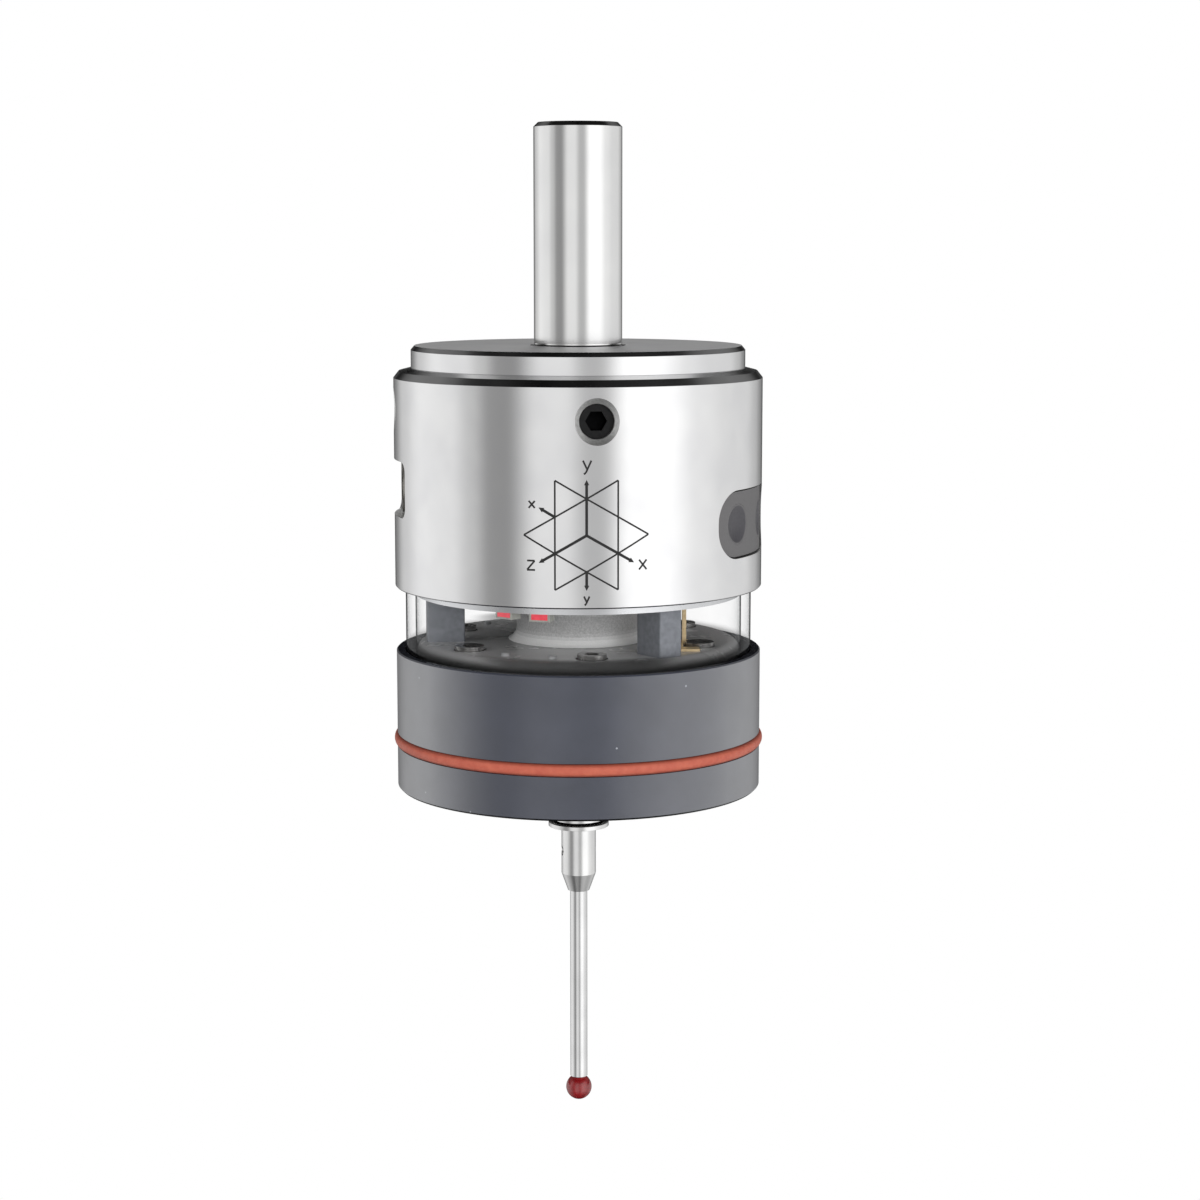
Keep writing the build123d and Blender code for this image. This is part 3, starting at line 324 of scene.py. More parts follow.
# %% Bright metals
# Cylindrical grinding leaves a tight blur, and fine turning leaves rings of 0.1 to 0.2 mm
ground_steel = turned_metal("ground_steel", "#e9e9e8", "#e2e2e2", 0.11, 0.12, 6)
turned_steel = turned_metal("fine_turned_steel", "#e8e8e8", "#e1e1e2", 0.14, 0.16, 5)
cap_steel = turned_metal("faced_steel", "#e8e8e8", "#e1e1e2", 0.14, 0.16, 6, 0.3)
drilled_steel = turned_metal("drilled_steel", "#f2f2f1", "#d8d8d7", 0.4, 0.2, 0.3)
carbide = turned_metal("ground_carbide", "#e6e6e6", "#dddddd", 0.14, 0.10, 3)
stylus_steel = turned_metal("turned_stainless_steel", "#e6e6e5", "#dedede", 0.18, 0.12, 3)
plate_metal = turned_metal("turned_aluminium", "#dfe0e2", "#d6d7d9", 0.26, 0.16, 4)
nickel = turned_metal("nickel_plate", "#cdcac2", "#c0bdb6", 0.2, 0.2, 3)
print("bright metals:", ground_steel.name, turned_steel.name, cap_steel.name, carbide.name)

# %% [markdown]
# Anodised aluminium
#
# The lower housing is anodised aluminium, dyed dark grey. The dye sits in a thin clear oxide layer over
# metal, so the surface is dark from the front, and towards the edges of the cylinder it shines like the
# metal below. A coat whose weight grows with the angle gives that. A few tiny nicks let the bright metal
# through. The faces that look down get a painted shade, a deeper black, and lose the shine.

# %% Anodised aluminium
anodised, tree, place, look = soft_finish(
    "dark_anodised_aluminium", "#3b3e49", "#363943", 3.5, (0.28, 0.34), detail=4.0
)
up = facing_up(tree)
# Faces that look down are painted near black: a painted shade for the shadow under the cup
under = add(tree, "MapRange", SMOOTH, {"Value": up, "From Min": -0.3, "From Max": -0.6})
dye_with_painted_shade = add(tree, "Mix", OF_COLOURS,
           {"Factor": under, COLOUR_A: look["Base Color"], COLOUR_B: linear("#101114")})

# A nick is the middle of a cell, in about one cell of four
nick_gap, nick_size, nick_rarity = 2.6, 0.045, 0.75
cells = add(tree, "TexVoronoi", {"feature": "F1"},
            {"Vector": place, "Scale": 1 / (nick_gap * MM), "Randomness": 1.0}).outputs
middle = add(tree, "Math", {"operation": "LESS_THAN"}, {0: cells["Distance"], 1: nick_size})
lot = add(tree, "SeparateColor", {}, {0: cells["Color"]})
some = add(tree, "Math", {"operation": "GREATER_THAN"}, {0: lot, 1: nick_rarity})
nick = add(tree, "Math", {"operation": "MULTIPLY"}, {0: middle, 1: some})
bared = add(tree, "Mix", OF_COLOURS, {"Factor": nick, COLOUR_A: dye_with_painted_shade, COLOUR_B: linear("#8d9098")})

edge = add(tree, "LayerWeight", {}, {"Blend": 0.5}).outputs["Facing"]
clear = add(tree, "Math", {"operation": "SUBTRACT"}, {0: 1.0, 1: under})
sheen = add(tree, "MapRange", {}, {"Value": edge, "From Max": 0.45, "To Max": clear})
level = add(tree, "Math", {"operation": "MAXIMUM"}, {0: up, 1: 0.0})
flat = add(tree, "Math", {"operation": "POWER"}, {0: level, 1: 8.0})
blur = add(tree, "Math", {"operation": "MULTIPLY_ADD"}, {0: flat, 1: -0.22, 2: look["Roughness"]})
pores = add(tree, "TexNoise", {}, {"Vector": place, "Scale": 1 / (0.12 * MM), "Detail": 2.0})
felt = add(tree, "Bump", {}, {"Height": pores, "Distance": 0.001 * MM, "Strength": 0.25})
shade(tree, {
    "Base Color": bared, "IOR": 1.62, "Roughness": blur, "Normal": felt,
    "Coat Weight": sheen, "Coat IOR": 2.5, "Coat Roughness": blur,
})
print("anodised:", anodised.name)

# %% [markdown]
# The other metals
#
# The posts are plain aluminium, the strip is rolled brass, and the plate's screws are pressed steel. The
# set screws are black oxide on steel, oiled, and nearly matt. No light gets out of their sockets, so the
# shine is turned down by ambient occlusion where the surroundings close in, a painted shade. The drum is
# cast in sand: it is gritty all over, and the faces that look up are painted paler, a painted light.

# %% Other metals
post_metal = grained("satin_grey_aluminium", "#81848a", "#74777d", 0.6, (0.38, 0.5), 0.002, {"Metallic": 0.4})
brass = grained("rolled_brass", "#f4dcb2", "#e8cd9e", 0.5, (0.32, 0.42), 0.002, {"Metallic": 0.6})
screw_steel = grained(
    "pressed_screw_steel", "#a8a7a5", "#7e7d7d", 0.25, (0.18, 0.28), 0.003, {"Metallic": 0.9}
)

black_oxide_and_painted_shade, tree, _, look = soft_finish(
    "black_oxide_steel", "#0f0f10", "#0a0a0b", 0.3, (0.35, 0.5), 0.003, strength=0.4
)
# Ambient occlusion turns the shine down in sockets and gaps: a painted shade
occlusion_shade = add(tree, "AmbientOcclusion", {"samples": 8, "only_local": True}, {"Distance": 2.5 * MM})
shine = add(tree, "MapRange", {},
            {"Value": occlusion_shade.outputs["AO"], "From Min": 0.3, "From Max": 1.0, "To Max": 0.4})
shade(tree, {**look, "IOR": 1.4, "Specular IOR Level": shine})

drum_cast, tree, place, look = soft_finish(
    "sand_cast_zinc", "#c4c4c4", "#a4a4a4", 0.18, (0.5, 0.62), 0.012, strength=0.6
)
# Faces that look up are painted paler: a painted light from above
painted_top_light = add(tree, "MapRange", {},
              {"Value": facing_up(tree), "From Min": 0.05, "From Max": 0.6, "To Max": 0.8})
lit_tops = add(tree, "Mix", OF_COLOURS,
             {"Factor": painted_top_light, COLOUR_A: look["Base Color"], COLOUR_B: linear("#f4f4f3")})
patches = add(tree, "TexNoise", {}, {"Vector": place, "Scale": 1 / (2.4 * MM), "Detail": 3.0})
blur = add(tree, "MapRange", {},
           {"Value": patches, "From Min": 0.3, "From Max": 0.7, "To Min": 0.5, "To Max": 0.62})
shade(tree, {**look, "Base Color": lit_tops, "Metallic": 0.1, "Roughness": blur})
print("other metals:", post_metal.name, brass.name, screw_steel.name, black_oxide_and_painted_shade.name, drum_cast.name)

# %% [markdown]
# The clear window
#
# The window is clear polycarbonate: a thin clear wall bends light so little that its face almost
# vanishes, and only its edges draw lines. It could be real glass, but refraction in a 1 mm wall mostly
# adds noise. Here light goes straight through, a mirror takes over with the seventh power of how far the
# surface faces away, and where the wall is seen end on it darkens to a line, as refraction would do. The
# foot of the tube gets a painted shade: a darker band for the shade in the gap round the base plate.

# %% Clear window
window_clear, tree, place, look = soft_finish(
    "clear_polycarbonate", "#ffffff", "#fdfdfd", 5.0, (0.03, 0.07), detail=2.0
)
turned_away = add(tree, "LayerWeight", {}, {"Blend": 0.5}).outputs["Facing"]
grazing = add(tree, "Math", {"operation": "POWER"}, {0: turned_away, 1: 7.0})
end_on = add(tree, "MapRange", SMOOTH,
             {"Value": turned_away, "From Min": 0.84, "From Max": 0.92, "To Max": 0.85})
edged = add(tree, "Mix", OF_COLOURS,
            {"Factor": end_on, COLOUR_A: look["Base Color"], COLOUR_B: linear("#3a3b3c")})

# The painted shade at the foot reaches up to 33.4 mm below the shoulder, and a little higher where the wall
# is square on
height = add(tree, "SeparateXYZ", {}, {0: place}).outputs["Z"]
foot = add(tree, "MapRange", SMOOTH,
           {"Value": height, "From Min": -33.4 * MM, "From Max": -34.6 * MM})
lap = add(tree, "MapRange", SMOOTH,
          {"Value": height, "From Min": -33.0 * MM, "From Max": -33.4 * MM})
square_on = add(tree, "MapRange", SMOOTH,
                {"Value": turned_away, "From Min": 0.26, "From Max": 0.09, "To Max": 0.85})
front_lap = add(tree, "Math", {"operation": "MULTIPLY"}, {0: square_on, 1: lap})
painted_foot_shade = add(tree, "Math", {"operation": "MAXIMUM"}, {0: foot, 1: front_lap})
shaded = add(tree, "Mix", {**OF_COLOURS, "blend_type": "MULTIPLY"},
             {"Factor": painted_foot_shade, COLOUR_A: edged, COLOUR_B: linear("#b2b2b2")})
through = add(tree, "BsdfTransparent", {}, {"Color": shaded})
skin = add(tree, "BsdfGlossy", {}, {"Color": linear("#f4f6f8"), "Roughness": look["Roughness"]})
pane = add(tree, "MixShader", {}, {0: grazing, 1: through, 2: skin})
add(tree, "OutputMaterial", {}, {"Surface": pane})
print("window:", window_clear.name)

# %% [markdown]
# Plastics, rubber and ruby
#
# The orange ring is silicone, with a painted shade on its top and bottom where they turn into the
# groove. The buttons are darker in the hollow of the dish than at its rim, so their colour goes by the
# distance from the axis.
# The base plate is machined acetal, and the keypad's film, the lamps' cases and their red lenses are
# moulded. The ruby ball is a synthetic stone, deep red with a polished skin. The diagram is burnt into
# the metal by a laser.

# %% Plastics, rubber and ruby
ring_orange, tree, _, look = soft_finish(
    "orange_silicone", "#bb624d", "#b05746", 0.8, (0.42, 0.55), 0.003, detail=4.0
)
sideways = add(tree, "Math", {"operation": "ABSOLUTE"}, {0: facing_up(tree)})
# Top and bottom of the ring are painted darker: a painted shade where it turns into the groove
groove_shade = add(tree, "MapRange", {},
           {"Value": sideways, "From Min": 0.4, "From Max": 0.95, "To Max": 0.8})
shaded_at_groove = add(tree, "Mix", OF_COLOURS,
             {"Factor": groove_shade, COLOUR_A: look["Base Color"], COLOUR_B: linear("#5a271d")})
shade(tree, {
    **look, "Base Color": shaded_at_groove, "IOR": 1.43,
    "Subsurface Weight": 0.15, "Subsurface Radius": (0.0006, 0.0003, 0.0002),
})

button_rubber, tree, place, look = soft_finish(
    "moulded_silicone_rubber", "#49484c", "#424145", 0.2, (0.4, 0.48), 0.002
)
# The dish is darker the deeper it lies
sunk = add(tree, "MapRange", SMOOTH,
           {"Value": from_axis(tree, place)[0], "From Min": 20.7 * MM, "From Max": 20.62 * MM})
darker_in_dish = add(tree, "Mix", OF_COLOURS,
           {"Factor": sunk, COLOUR_A: linear("#656465"), COLOUR_B: look["Base Color"]})
shade(tree, {**look, "Base Color": darker_in_dish, "IOR": 1.4})

plate_plastic = grained("machined_grey_acetal", "#a0a0a0", "#9c9c9c", 3.0, (0.25, 0.28))
keypad_film = grained("satin_keypad_film", "#656465", "#605f60", 0.15, (0.46, 0.54), 0.002, {"IOR": 1.4})
lamp_red = grained("red_lamp_epoxy", "#e54a55", "#d03844", 0.7, (0.12, 0.2), detail=2.0, more={
    "IOR": 1.54, "Emission Color": linear("#ff5f6e"), "Emission Strength": 0.35,
})
lamp_case = grained("moulded_lamp_case", "#c2c3bd", "#b0b1a9", 0.3, (0.3, 0.42), more={"IOR": 1.54})
ruby = grained("polished_synthetic_ruby", "#8e1c20", "#741216", 0.9, (0.1, 0.14), detail=2.0, more={
    "IOR": 1.77, "Subsurface Weight": 0.15, "Subsurface Radius": (0.001, 0.0002, 0.0002),
})
marking = grained("laser_marking", "#141414", "#242424", 0.08, (0.55, 0.7))
print("plastics:", plate_plastic.name, keypad_film.name, button_rubber.name, "and", ruby.name)

# %% [markdown]
# What stays inside
#
# Boards, the battery and the springs are shut in, but a reader may take the housing off, so they get
# their finishes too: glass-fibre board, black chip resin, nickelled steel and drawn spring wire.

# %% Finishes for the inside
board_green = grained("glass_fibre_board", "#1f5d3a", "#184a2e", 0.4, (0.32, 0.44), 0.004)
chip_resin = grained("chip_resin", "#2b2b2c", "#1f1f20", 0.15, (0.5, 0.62), 0.004)
spring_wire = grained("drawn_spring_wire", "#b8b9bb", "#8f9093", 0.3, (0.25, 0.37), 0.004, {"Metallic": 1.0})
bearing_steel = grained(
    "lapped_bearing_steel", "#d4d4d6", "#c4c4c8", 1.0, (0.1, 0.22), 0.004, {"Metallic": 1.0}
)
seat_ceramic = grained("pressed_ceramic", "#e9e6de", "#dcd8ce", 0.3, (0.45, 0.57), 0.004)
seal_rubber = grained("moulded_seal_rubber", "#2a2a2b", "#1e1e1f", 0.25, (0.6, 0.72), 0.004)
solder = grained("tinned_solder", "#a4a5a6", "#8a8b8c", 0.2, (0.45, 0.57), 0.004, {"Metallic": 0.2})
print("inside:", board_green.name, chip_resin.name, spring_wire.name, seat_ceramic.name)

# %% [markdown]
# Turned pieces
#
# A lathe cuts one outline round an axis, so a turned piece is a profile carried round a circle. The CAD
# solid has sharp corners. On the real piece a file or a fine tool breaks each edge, and that small round
# is what catches a line of light. The function below swaps each corner of the outline for a small arc
# and works out the surface normal at the same time: it holds still along a straight side and turns
# evenly along an arc. Handing those normals to the mesh keeps large flat faces truly flat.


# %% Rounded outlines
def rounded(points, radius=0.07, steps=5):
    """Outline in (distance from the axis, height), in mm, with its corners rounded.

    Each side has the outward normal n. At a corner the direction turns by an angle: the arc's centre is
    the corner less the sum of the two normals, scaled by radius / (1 + their product), and the arc's
    points are the centre plus the radius times the normal as it turns from one side's to the other's.
    An outline that starts and ends on the axis stays open there."""
    p = np.array(points, float)
    open_ends = abs(p[0, 0]) < 1e-9 and abs(p[-1, 0]) < 1e-9
    nxt = np.roll(p, -1, 0)
    if np.sum(p[:, 0] * nxt[:, 1] - nxt[:, 0] * p[:, 1]) < 0:
        p = p[::-1]
        radius = radius[::-1] if np.ndim(radius) else radius
    side = np.roll(p, -1, 0) - p
    side /= np.linalg.norm(side, axis=1, keepdims=True)
    normal = np.column_stack([side[:, 1], -side[:, 0]])
    n1, n2 = np.roll(normal, 1, 0), normal
    d1, d2 = np.roll(side, 1, 0), side
    turn = np.arctan2(d1[:, 0] * d2[:, 1] - d1[:, 1] * d2[:, 0], np.sum(d1 * d2, 1))
    bend = np.broadcast_to(np.asarray(radius, float), len(p))[:, None] * np.sign(turn)[:, None]
    centre = p - bend * (n1 + n2) / (1 + np.sum(n1 * n2, 1))[:, None]
    angle = np.arctan2(n1[:, 1], n1[:, 0])[:, None] + turn[:, None] * np.linspace(0, 1, steps + 1)
    normals = np.stack([np.cos(angle), np.sin(angle)], 2)
    arcs = centre[:, None, :] + bend[:, None, :] * normals
    if open_ends:
        arcs, normals = arcs[1:-1].reshape(-1, 2), normals[1:-1].reshape(-1, 2)
        return np.vstack([p[:1], arcs, p[-1:]]), np.vstack([n2[:1], normals, n1[-1:]])
    return arcs.reshape(-1, 2), normals.reshape(-1, 2)


# %% Surfaces on a grid
def new_piece(name, points, faces, material, normals=None):
    """A mesh object from arrays, in mm, with its smooth normals if they are given."""
    mesh = bpy.data.meshes.new(name)
    mesh.from_pydata((np.asarray(points) * MM).tolist(), [], faces)
    mesh.shade_smooth()
    if normals is not None:
        mesh.normals_split_custom_set_from_vertices(np.asarray(normals).tolist())
    mesh.materials.append(material)
    piece = bpy.data.objects.new(name, mesh)
    bpy.context.scene.collection.objects.link(piece)
    return piece


def read(items, attribute, width=3, kind=float):
    """One value of each item of a mesh, such as a face's middle, as an array with the given width."""
    values = np.empty(len(items) * width, kind)
    items.foreach_get(attribute, values)
    return values.reshape(-1, width).squeeze()


def revolve(profile, normals, around=256):
    """Points of a profile carried round the Z axis: x and y are the distance times cosine and sine of the
    turn, z is the height. Faces join neighbours on the grid, and an end on the axis closes in triangles."""
    closed = profile[0, 0] > 1e-9
    turn = np.linspace(0, 2 * pi, around, endpoint=False)
    ring = np.stack([np.cos(turn), np.sin(turn)], 1)
    body = profile if closed else profile[1:-1]
    body_n = normals if closed else normals[1:-1]
    rows = len(body)
    xyz, nrm = (
        np.concatenate([part[:, None, :1] * ring, np.repeat(part[:, None, 1:], around, 1)], 2).reshape(-1, 3)
        for part in (body, body_n)
    )
    grid = np.arange(rows * around).reshape(rows, around)
    low = grid if closed else grid[:-1]
    high = np.roll(grid, -1, 0) if closed else grid[1:]
    faces = np.stack([low, np.roll(low, -1, 1), np.roll(high, -1, 1), high], 2).reshape(-1, 4).tolist()
    if not closed:
        first, last = len(xyz), len(xyz) + 1
        xyz = np.vstack([xyz, [0, 0, profile[0, 1]], [0, 0, profile[-1, 1]]])
        nrm = np.vstack([nrm, [0, 0, np.sign(normals[0, 1])], [0, 0, np.sign(normals[-1, 1])]])
        start, stop = grid[0], grid[-1]
        faces += np.stack([np.full(around, first), np.roll(start, -1), start], 1).tolist()
        faces += np.stack([stop, np.roll(stop, -1), np.full(around, last)], 1).tolist()
    return xyz, faces, nrm


def turned(name, outline, material, radius=0.07, around=256, steps=5):
    """A turned piece from the corners of its outline."""
    points, faces, normals = revolve(*rounded(outline, radius, steps), around)
    piece = new_piece(name, points, faces, material, normals)
    print(name, len(piece.data.polygons), "faces")
    return piece


# %% Pieces on their bodies
def dress(name, finish):
    """Gives a CAD piece one finish."""
    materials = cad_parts[name].data.materials
    materials.clear()
    materials.append(finish)


def stands_for(piece, body, slot, *nodes):
    """Puts a piece on its body, in place of CAD nodes, which get the same finish in case they are shown.
    The slot is not used."""
    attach(piece, body)
    if nodes:
        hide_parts(*nodes)
    for node in nodes:
        dress(node, piece.data.materials[0])


def paint_undercut_shade(piece, radius, low, high):
    """Gives the faces of an undercut the black finish as a painted shade for the dark gap: those whose middle
    is nearer the axis than the radius and between the two heights. The polished surfaces round it keep their
    own."""
    piece.data.materials.append(black_oxide_and_painted_shade)
    x, y, z = read(piece.data.polygons, "center").T / MM
    inside = (np.hypot(x, y) < radius) & (z > low) & (z < high)
    piece.data.polygons.foreach_set("material_index", inside.astype(np.int32))
    print(piece.name, int(inside.sum()), "faces left black")


# %% Shank and cap
shank_r, neck_r, head_top, foot_z = 5, 4.7, -4.3, 0.13
shank_outline = [
    (0, -2.9), (2.53, -2.9), (2.53, -9.8), (8, -9.8), (8, head_top), (neck_r, head_top), (neck_r, foot_z),
    (shank_r + 0.025, foot_z), (shank_r, foot_z + 0.14), (shank_r, 24.37), (4.5, 24.87), (1.2, 24.87),
    (0, 23.07),
]
breaks = [0, *[0.07] * 5, 0.01, 0.01, 0.02, 0.07, 0.07, 0.07, 0]
shank = turned("shank_turned", shank_outline, ground_steel, breaks)
stands_for(shank, "housing", "ground_steel", "shank")
# The undercut under the shank's shoulder is painted black: a painted shade for the dark gap
paint_undercut_shade(shank, shank_r + 0.02, head_top, foot_z + 0.01)
cap_outline = [
    (5.27, -0.15), (5.42, 0), (18.55, 0), (18.96, -0.49), (18.96, -2.5), (13, -2.5), (13, -3.9), (5.27, -3.9),
]
cap = turned("cap_turned", cap_outline, cap_steel, 0.05)
stands_for(cap, "housing", "cap_steel", "top_cap")

# %% [markdown]
# Holes in a turned piece
#
# The upper housing is turned first and then drilled and milled: four countersunk holes for the set
# screws, a pocket for the socket and a stadium-shaped pocket for the keypad. Inside, three lugs take the
# tie screws. Each cutter is a surface of its own, taken away with a Boolean. A Boolean leaves new corners
# on the smooth wall, so afterwards every corner of a face that still lies on the turned outline gets the
# outline's exact normal back.


# %% Cutters
def facing(points, angle_deg, height):
    """Turns points so that their Z runs outward at an angle from the front, at a height on the axis."""
    a = radians(angle_deg)
    across, upward, outward = (cos(a), sin(a), 0), (0, 0, 1), (sin(a), -cos(a), 0)
    return points @ np.array([across, upward, outward]) + np.array([0, 0, height])


def drill(name, outline, angle_deg, height, material, around=72):
    """A cutter turned about an axis that runs outward from the probe's own."""
    points, faces, _ = revolve(*rounded(outline, 0.0, 1), around)
    return new_piece(name, facing(points, angle_deg, height), faces, material)


def upright(name, outline, radius, angle_deg, material, around=48):
    """A cutter about an upright axis at a distance from the probe's, at an angle from the front."""
    points, faces, _ = revolve(*rounded(outline, 0.0, 1), around)
    a = radians(angle_deg)
    return new_piece(name, points + np.array([radius * sin(a), -radius * cos(a), 0]), faces, material)


def prism(name, half_wide, half_tall, corner, near, far, angle_deg, height, material, steps=12):
    """A cutter with a rounded-rectangle section: four quarter circles of the corner's radius, joined by
    straight sides, carried outward from the distance near to the distance far."""
    quarter = np.linspace(0, pi / 2, steps)
    turn = (quarter + pi / 2 * np.arange(4)[:, None]).ravel()
    cx = np.repeat([1, -1, -1, 1], steps) * (half_wide - corner)
    cy = np.repeat([1, 1, -1, -1], steps) * (half_tall - corner)
    section = np.column_stack([cx + corner * np.cos(turn), cy + corner * np.sin(turn)])
    count = len(section)
    points = np.vstack([np.column_stack([section, np.full(count, level)]) for level in (near, far)])
    i = np.arange(count)
    j = np.roll(i, -1)
    faces = np.column_stack([i, j, j + count, i + count]).tolist() + [i[::-1].tolist(), (i + count).tolist()]
    return new_piece(name, facing(points, angle_deg, height), faces, material)


# %% Exact normals, and the cut
def outline_normals(mesh, profile, normals, near_mm=0.02, agreement=0.906):
    """Exact normals for the corners that lie on a turned outline.

    Each corner's (distance, height) is set against every side of the outline, the nearest point of the
    nearest side is found, and its normal is read between the side's two ends. It is used where the corner
    is within 0.02 mm of the outline and the normal within 25 degrees of the face's; the other corners
    keep their own."""
    place = read(mesh.vertices, "co")[read(mesh.loops, "vertex_index", 1, int)] / MM
    own = read(mesh.corner_normals, "vector")
    flat = np.repeat(read(mesh.polygons, "normal"), read(mesh.polygons, "loop_total", 1, int), axis=0)
    away = np.hypot(place[:, 0], place[:, 1])
    q = np.column_stack([away, place[:, 2]])
    a, b = profile, np.roll(profile, -1, 0)
    na, nb = normals, np.roll(normals, -1, 0)
    ab = b - a
    t = np.clip(np.einsum("ijk,jk->ij", q[:, None] - a, ab) / np.maximum(np.sum(ab * ab, 1), 1e-12), 0, 1)
    gap = np.linalg.norm(q[:, None] - (a + t[..., None] * ab), axis=2)
    best = gap.argmin(1)
    pick = np.arange(len(own))
    share = t[pick, best][:, None]
    n = na[best] * (1 - share) + nb[best] * share
    radial = place[:, :2] / np.maximum(away, 1e-9)[:, None]
    exact = np.column_stack([radial * n[:, :1], n[:, 1]])
    exact /= np.maximum(np.linalg.norm(exact, axis=1, keepdims=True), 1e-9)
    use = (gap[pick, best] < near_mm) & (np.sum(exact * flat, 1) > agreement)
    own[use] = exact[use]
    mesh.normals_split_custom_set(own.tolist())
    return int(use.sum()), len(own)


def cut(name, outline, steps, material, radius=0.07, around=256):
    """A turned piece after a list of (operation, tool), with exact normals where the outline is left.

    A cut face takes the finish of the tool that made it."""
    profile, normals = rounded(outline, radius)
    points, faces, _ = revolve(profile, normals, around)
    blank = new_piece(name + "_blank", points, faces, material)
    for operation, tool in steps:
        step = blank.modifiers.new(tool.name, "BOOLEAN")
        step.operation, step.object, step.solver, step.material_mode = operation, tool, "EXACT", "TRANSFER"
    ready = blank.evaluated_get(bpy.context.evaluated_depsgraph_get())
    mesh = bpy.data.meshes.new_from_object(ready)
    mesh.name = name
    for leftover in (blank, *[tool for operation, tool in steps]):
        bpy.data.objects.remove(leftover)
    mesh.shade_smooth()
    mesh.set_sharp_from_angle(angle=radians(30))
    kept, total = outline_normals(mesh, profile, normals)
    piece = bpy.data.objects.new(name, mesh)
    bpy.context.scene.collection.objects.link(piece)
    print(name, len(mesh.polygons), "faces,", kept, "of", total, "corners on the outline")
    return piece


# %% Upper housing
body_r, screw_z = 20.95, -7.24
keypad_angle, keypad_z, keypad_half = 63.7, -19.25, 7.95
jack_angle, jack_z = -90.0, -15.85
button_angles, tie_angles, tie_r = (52.9, 74.5), (30, 150, -90), 15.3
hole_r, outside = 1.91, 22.5
screw_hole = [(0, 8.2), (hole_r, 8.2), (hole_r, body_r - 0.62), (hole_r + 2.62, body_r + 2), (0, body_r + 2)]
jack_hole = [(0, 15), (2.65, 15), (2.65, 20.5), (0, 20.5)]
stem_hole = [(0, 15), (1.0, 15), (1.0, 19), (0, 19)]
lug = [(0, -25.9), (2.4, -25.9), (2.4, -22.6), (0, -22.6)]
tie_hole = [(0, -26.5), (1.28, -26.5), (1.28, -23.55), (1.03, -23.55), (1.03, -22), (0, -22)]
cutters = [
    *[drill(f"screw_hole_{i}", screw_hole, 90 * i, screw_z, drilled_steel) for i in range(4)],
    prism("keypad_pocket", keypad_half, 3.81, 3.4, 17.8, outside, keypad_angle, keypad_z, drilled_steel),
    prism("jack_pocket", 6.3, 3.15, 1.2, 19.7, outside, jack_angle, jack_z, drilled_steel),
    drill("jack_hole", jack_hole, jack_angle, jack_z, drilled_steel),
    *[drill(f"stem_hole_{a}", stem_hole, a, keypad_z, drilled_steel) for a in button_angles],
]
lugs = [upright(f"lug_{a}", lug, tie_r, a, turned_steel) for a in tie_angles]
cutters += [upright(f"tie_hole_{a}", tie_hole, tie_r, a, drilled_steel) for a in tie_angles]
housing_outline = [
    (13.05, -2.5), (18.96, -2.5), (20.36, -2.85), (body_r, -3.6), (body_r, -27.15), (20.8, -27.3),
    (19.915, -27.3), (19.915, -25.9), (17, -25.9), (17, -12.2), (2.77, -12.2), (2.77, -9.8), (9.5, -9.8),
    (9.5, -3.9), (13.05, -3.9),
]
steps = [("UNION", lug) for lug in lugs] + [("DIFFERENCE", cutter) for cutter in cutters]
housing = cut("upper_housing_turned", housing_outline, steps, turned_steel, 0.05)
stands_for(housing, "housing", "turned_steel", "upper_housing")

# %% [markdown]
# The marked diagram
#
# The front carries a small axis diagram: three planes that cross, drawn as they look from a corner,
# with an arrow along each direction. It is marked into the wall with a laser. The drawing is worked out
# flat, in mm along the wall and up it, and then wrapped round the cylinder a hair above the metal. A
# stroke is a ribbon: a centre line with a width to each side, which may taper to make an arrowhead.


# %% Diagram
def stroke(start, end, width, end_width=None, steps=12):
    """Ribbon from start to end on the wall: along it the point is start + t (end - start), and across it
    half the width to each side. The flat drawing's first number is arc length, so angle = length / r."""
    a, b = np.array(start, float), np.array(end, float)
    along = (b - a) / np.linalg.norm(b - a)
    across = np.array([-along[1], along[0]])
    t = np.linspace(0, 1, steps)[:, None]
    half = 0.5 * (width + t * ((width if end_width is None else end_width) - width))
    middle = a + t * (b - a)
    strip = np.stack([middle + across * half, middle - across * half], 1).reshape(-1, 2)
    i = np.arange(0, 2 * steps - 2, 2)
    return strip, np.column_stack([i, i + 1, i + 3, i + 2])


edge_len = 3.92
wide, tall = edge_len * cos(pi / 6), 1.5 * edge_len
tip_len, head_len, head_wide = 5.94, 0.56, 0.56
thin, thick, letter = 0.19, 0.30, 0.20
left, right = (-2 * wide, 0), (2 * wide, 0)
strokes = [
    ((-wide, tall), right, thin), ((wide, tall), left, thin), (left, (wide, -tall), thin),
    (right, (-wide, -tall), thin), ((-wide, tall), (-wide, -tall), thin), ((wide, tall), (wide, -tall), thin),
]
for angle_deg, from_centre in ((90, True), (210, True), (330, True), (270, False), (150, False)):
    way = np.array([cos(radians(angle_deg)), sin(radians(angle_deg))])
    strokes.append((way * (0 if from_centre else edge_len), way * (tip_len - head_len), thick))
    strokes.append((way * (tip_len - head_len), way * tip_len, head_wide, 0.02))
glyph = {
    "y": [((-0.44, 0.0), (0.02, -1.0)), ((0.46, 0.0), (-0.12, -1.32)), ((-0.12, -1.32), (-0.34, -1.5))],
    "x": [((-0.5, 0.5), (0.5, -0.5)), ((0.5, 0.5), (-0.5, -0.5))],
    "z": [((-0.45, 0.5), (0.47, 0.5)), ((0.45, 0.48), (-0.45, -0.48)), ((-0.47, -0.5), (0.5, -0.5))],
}
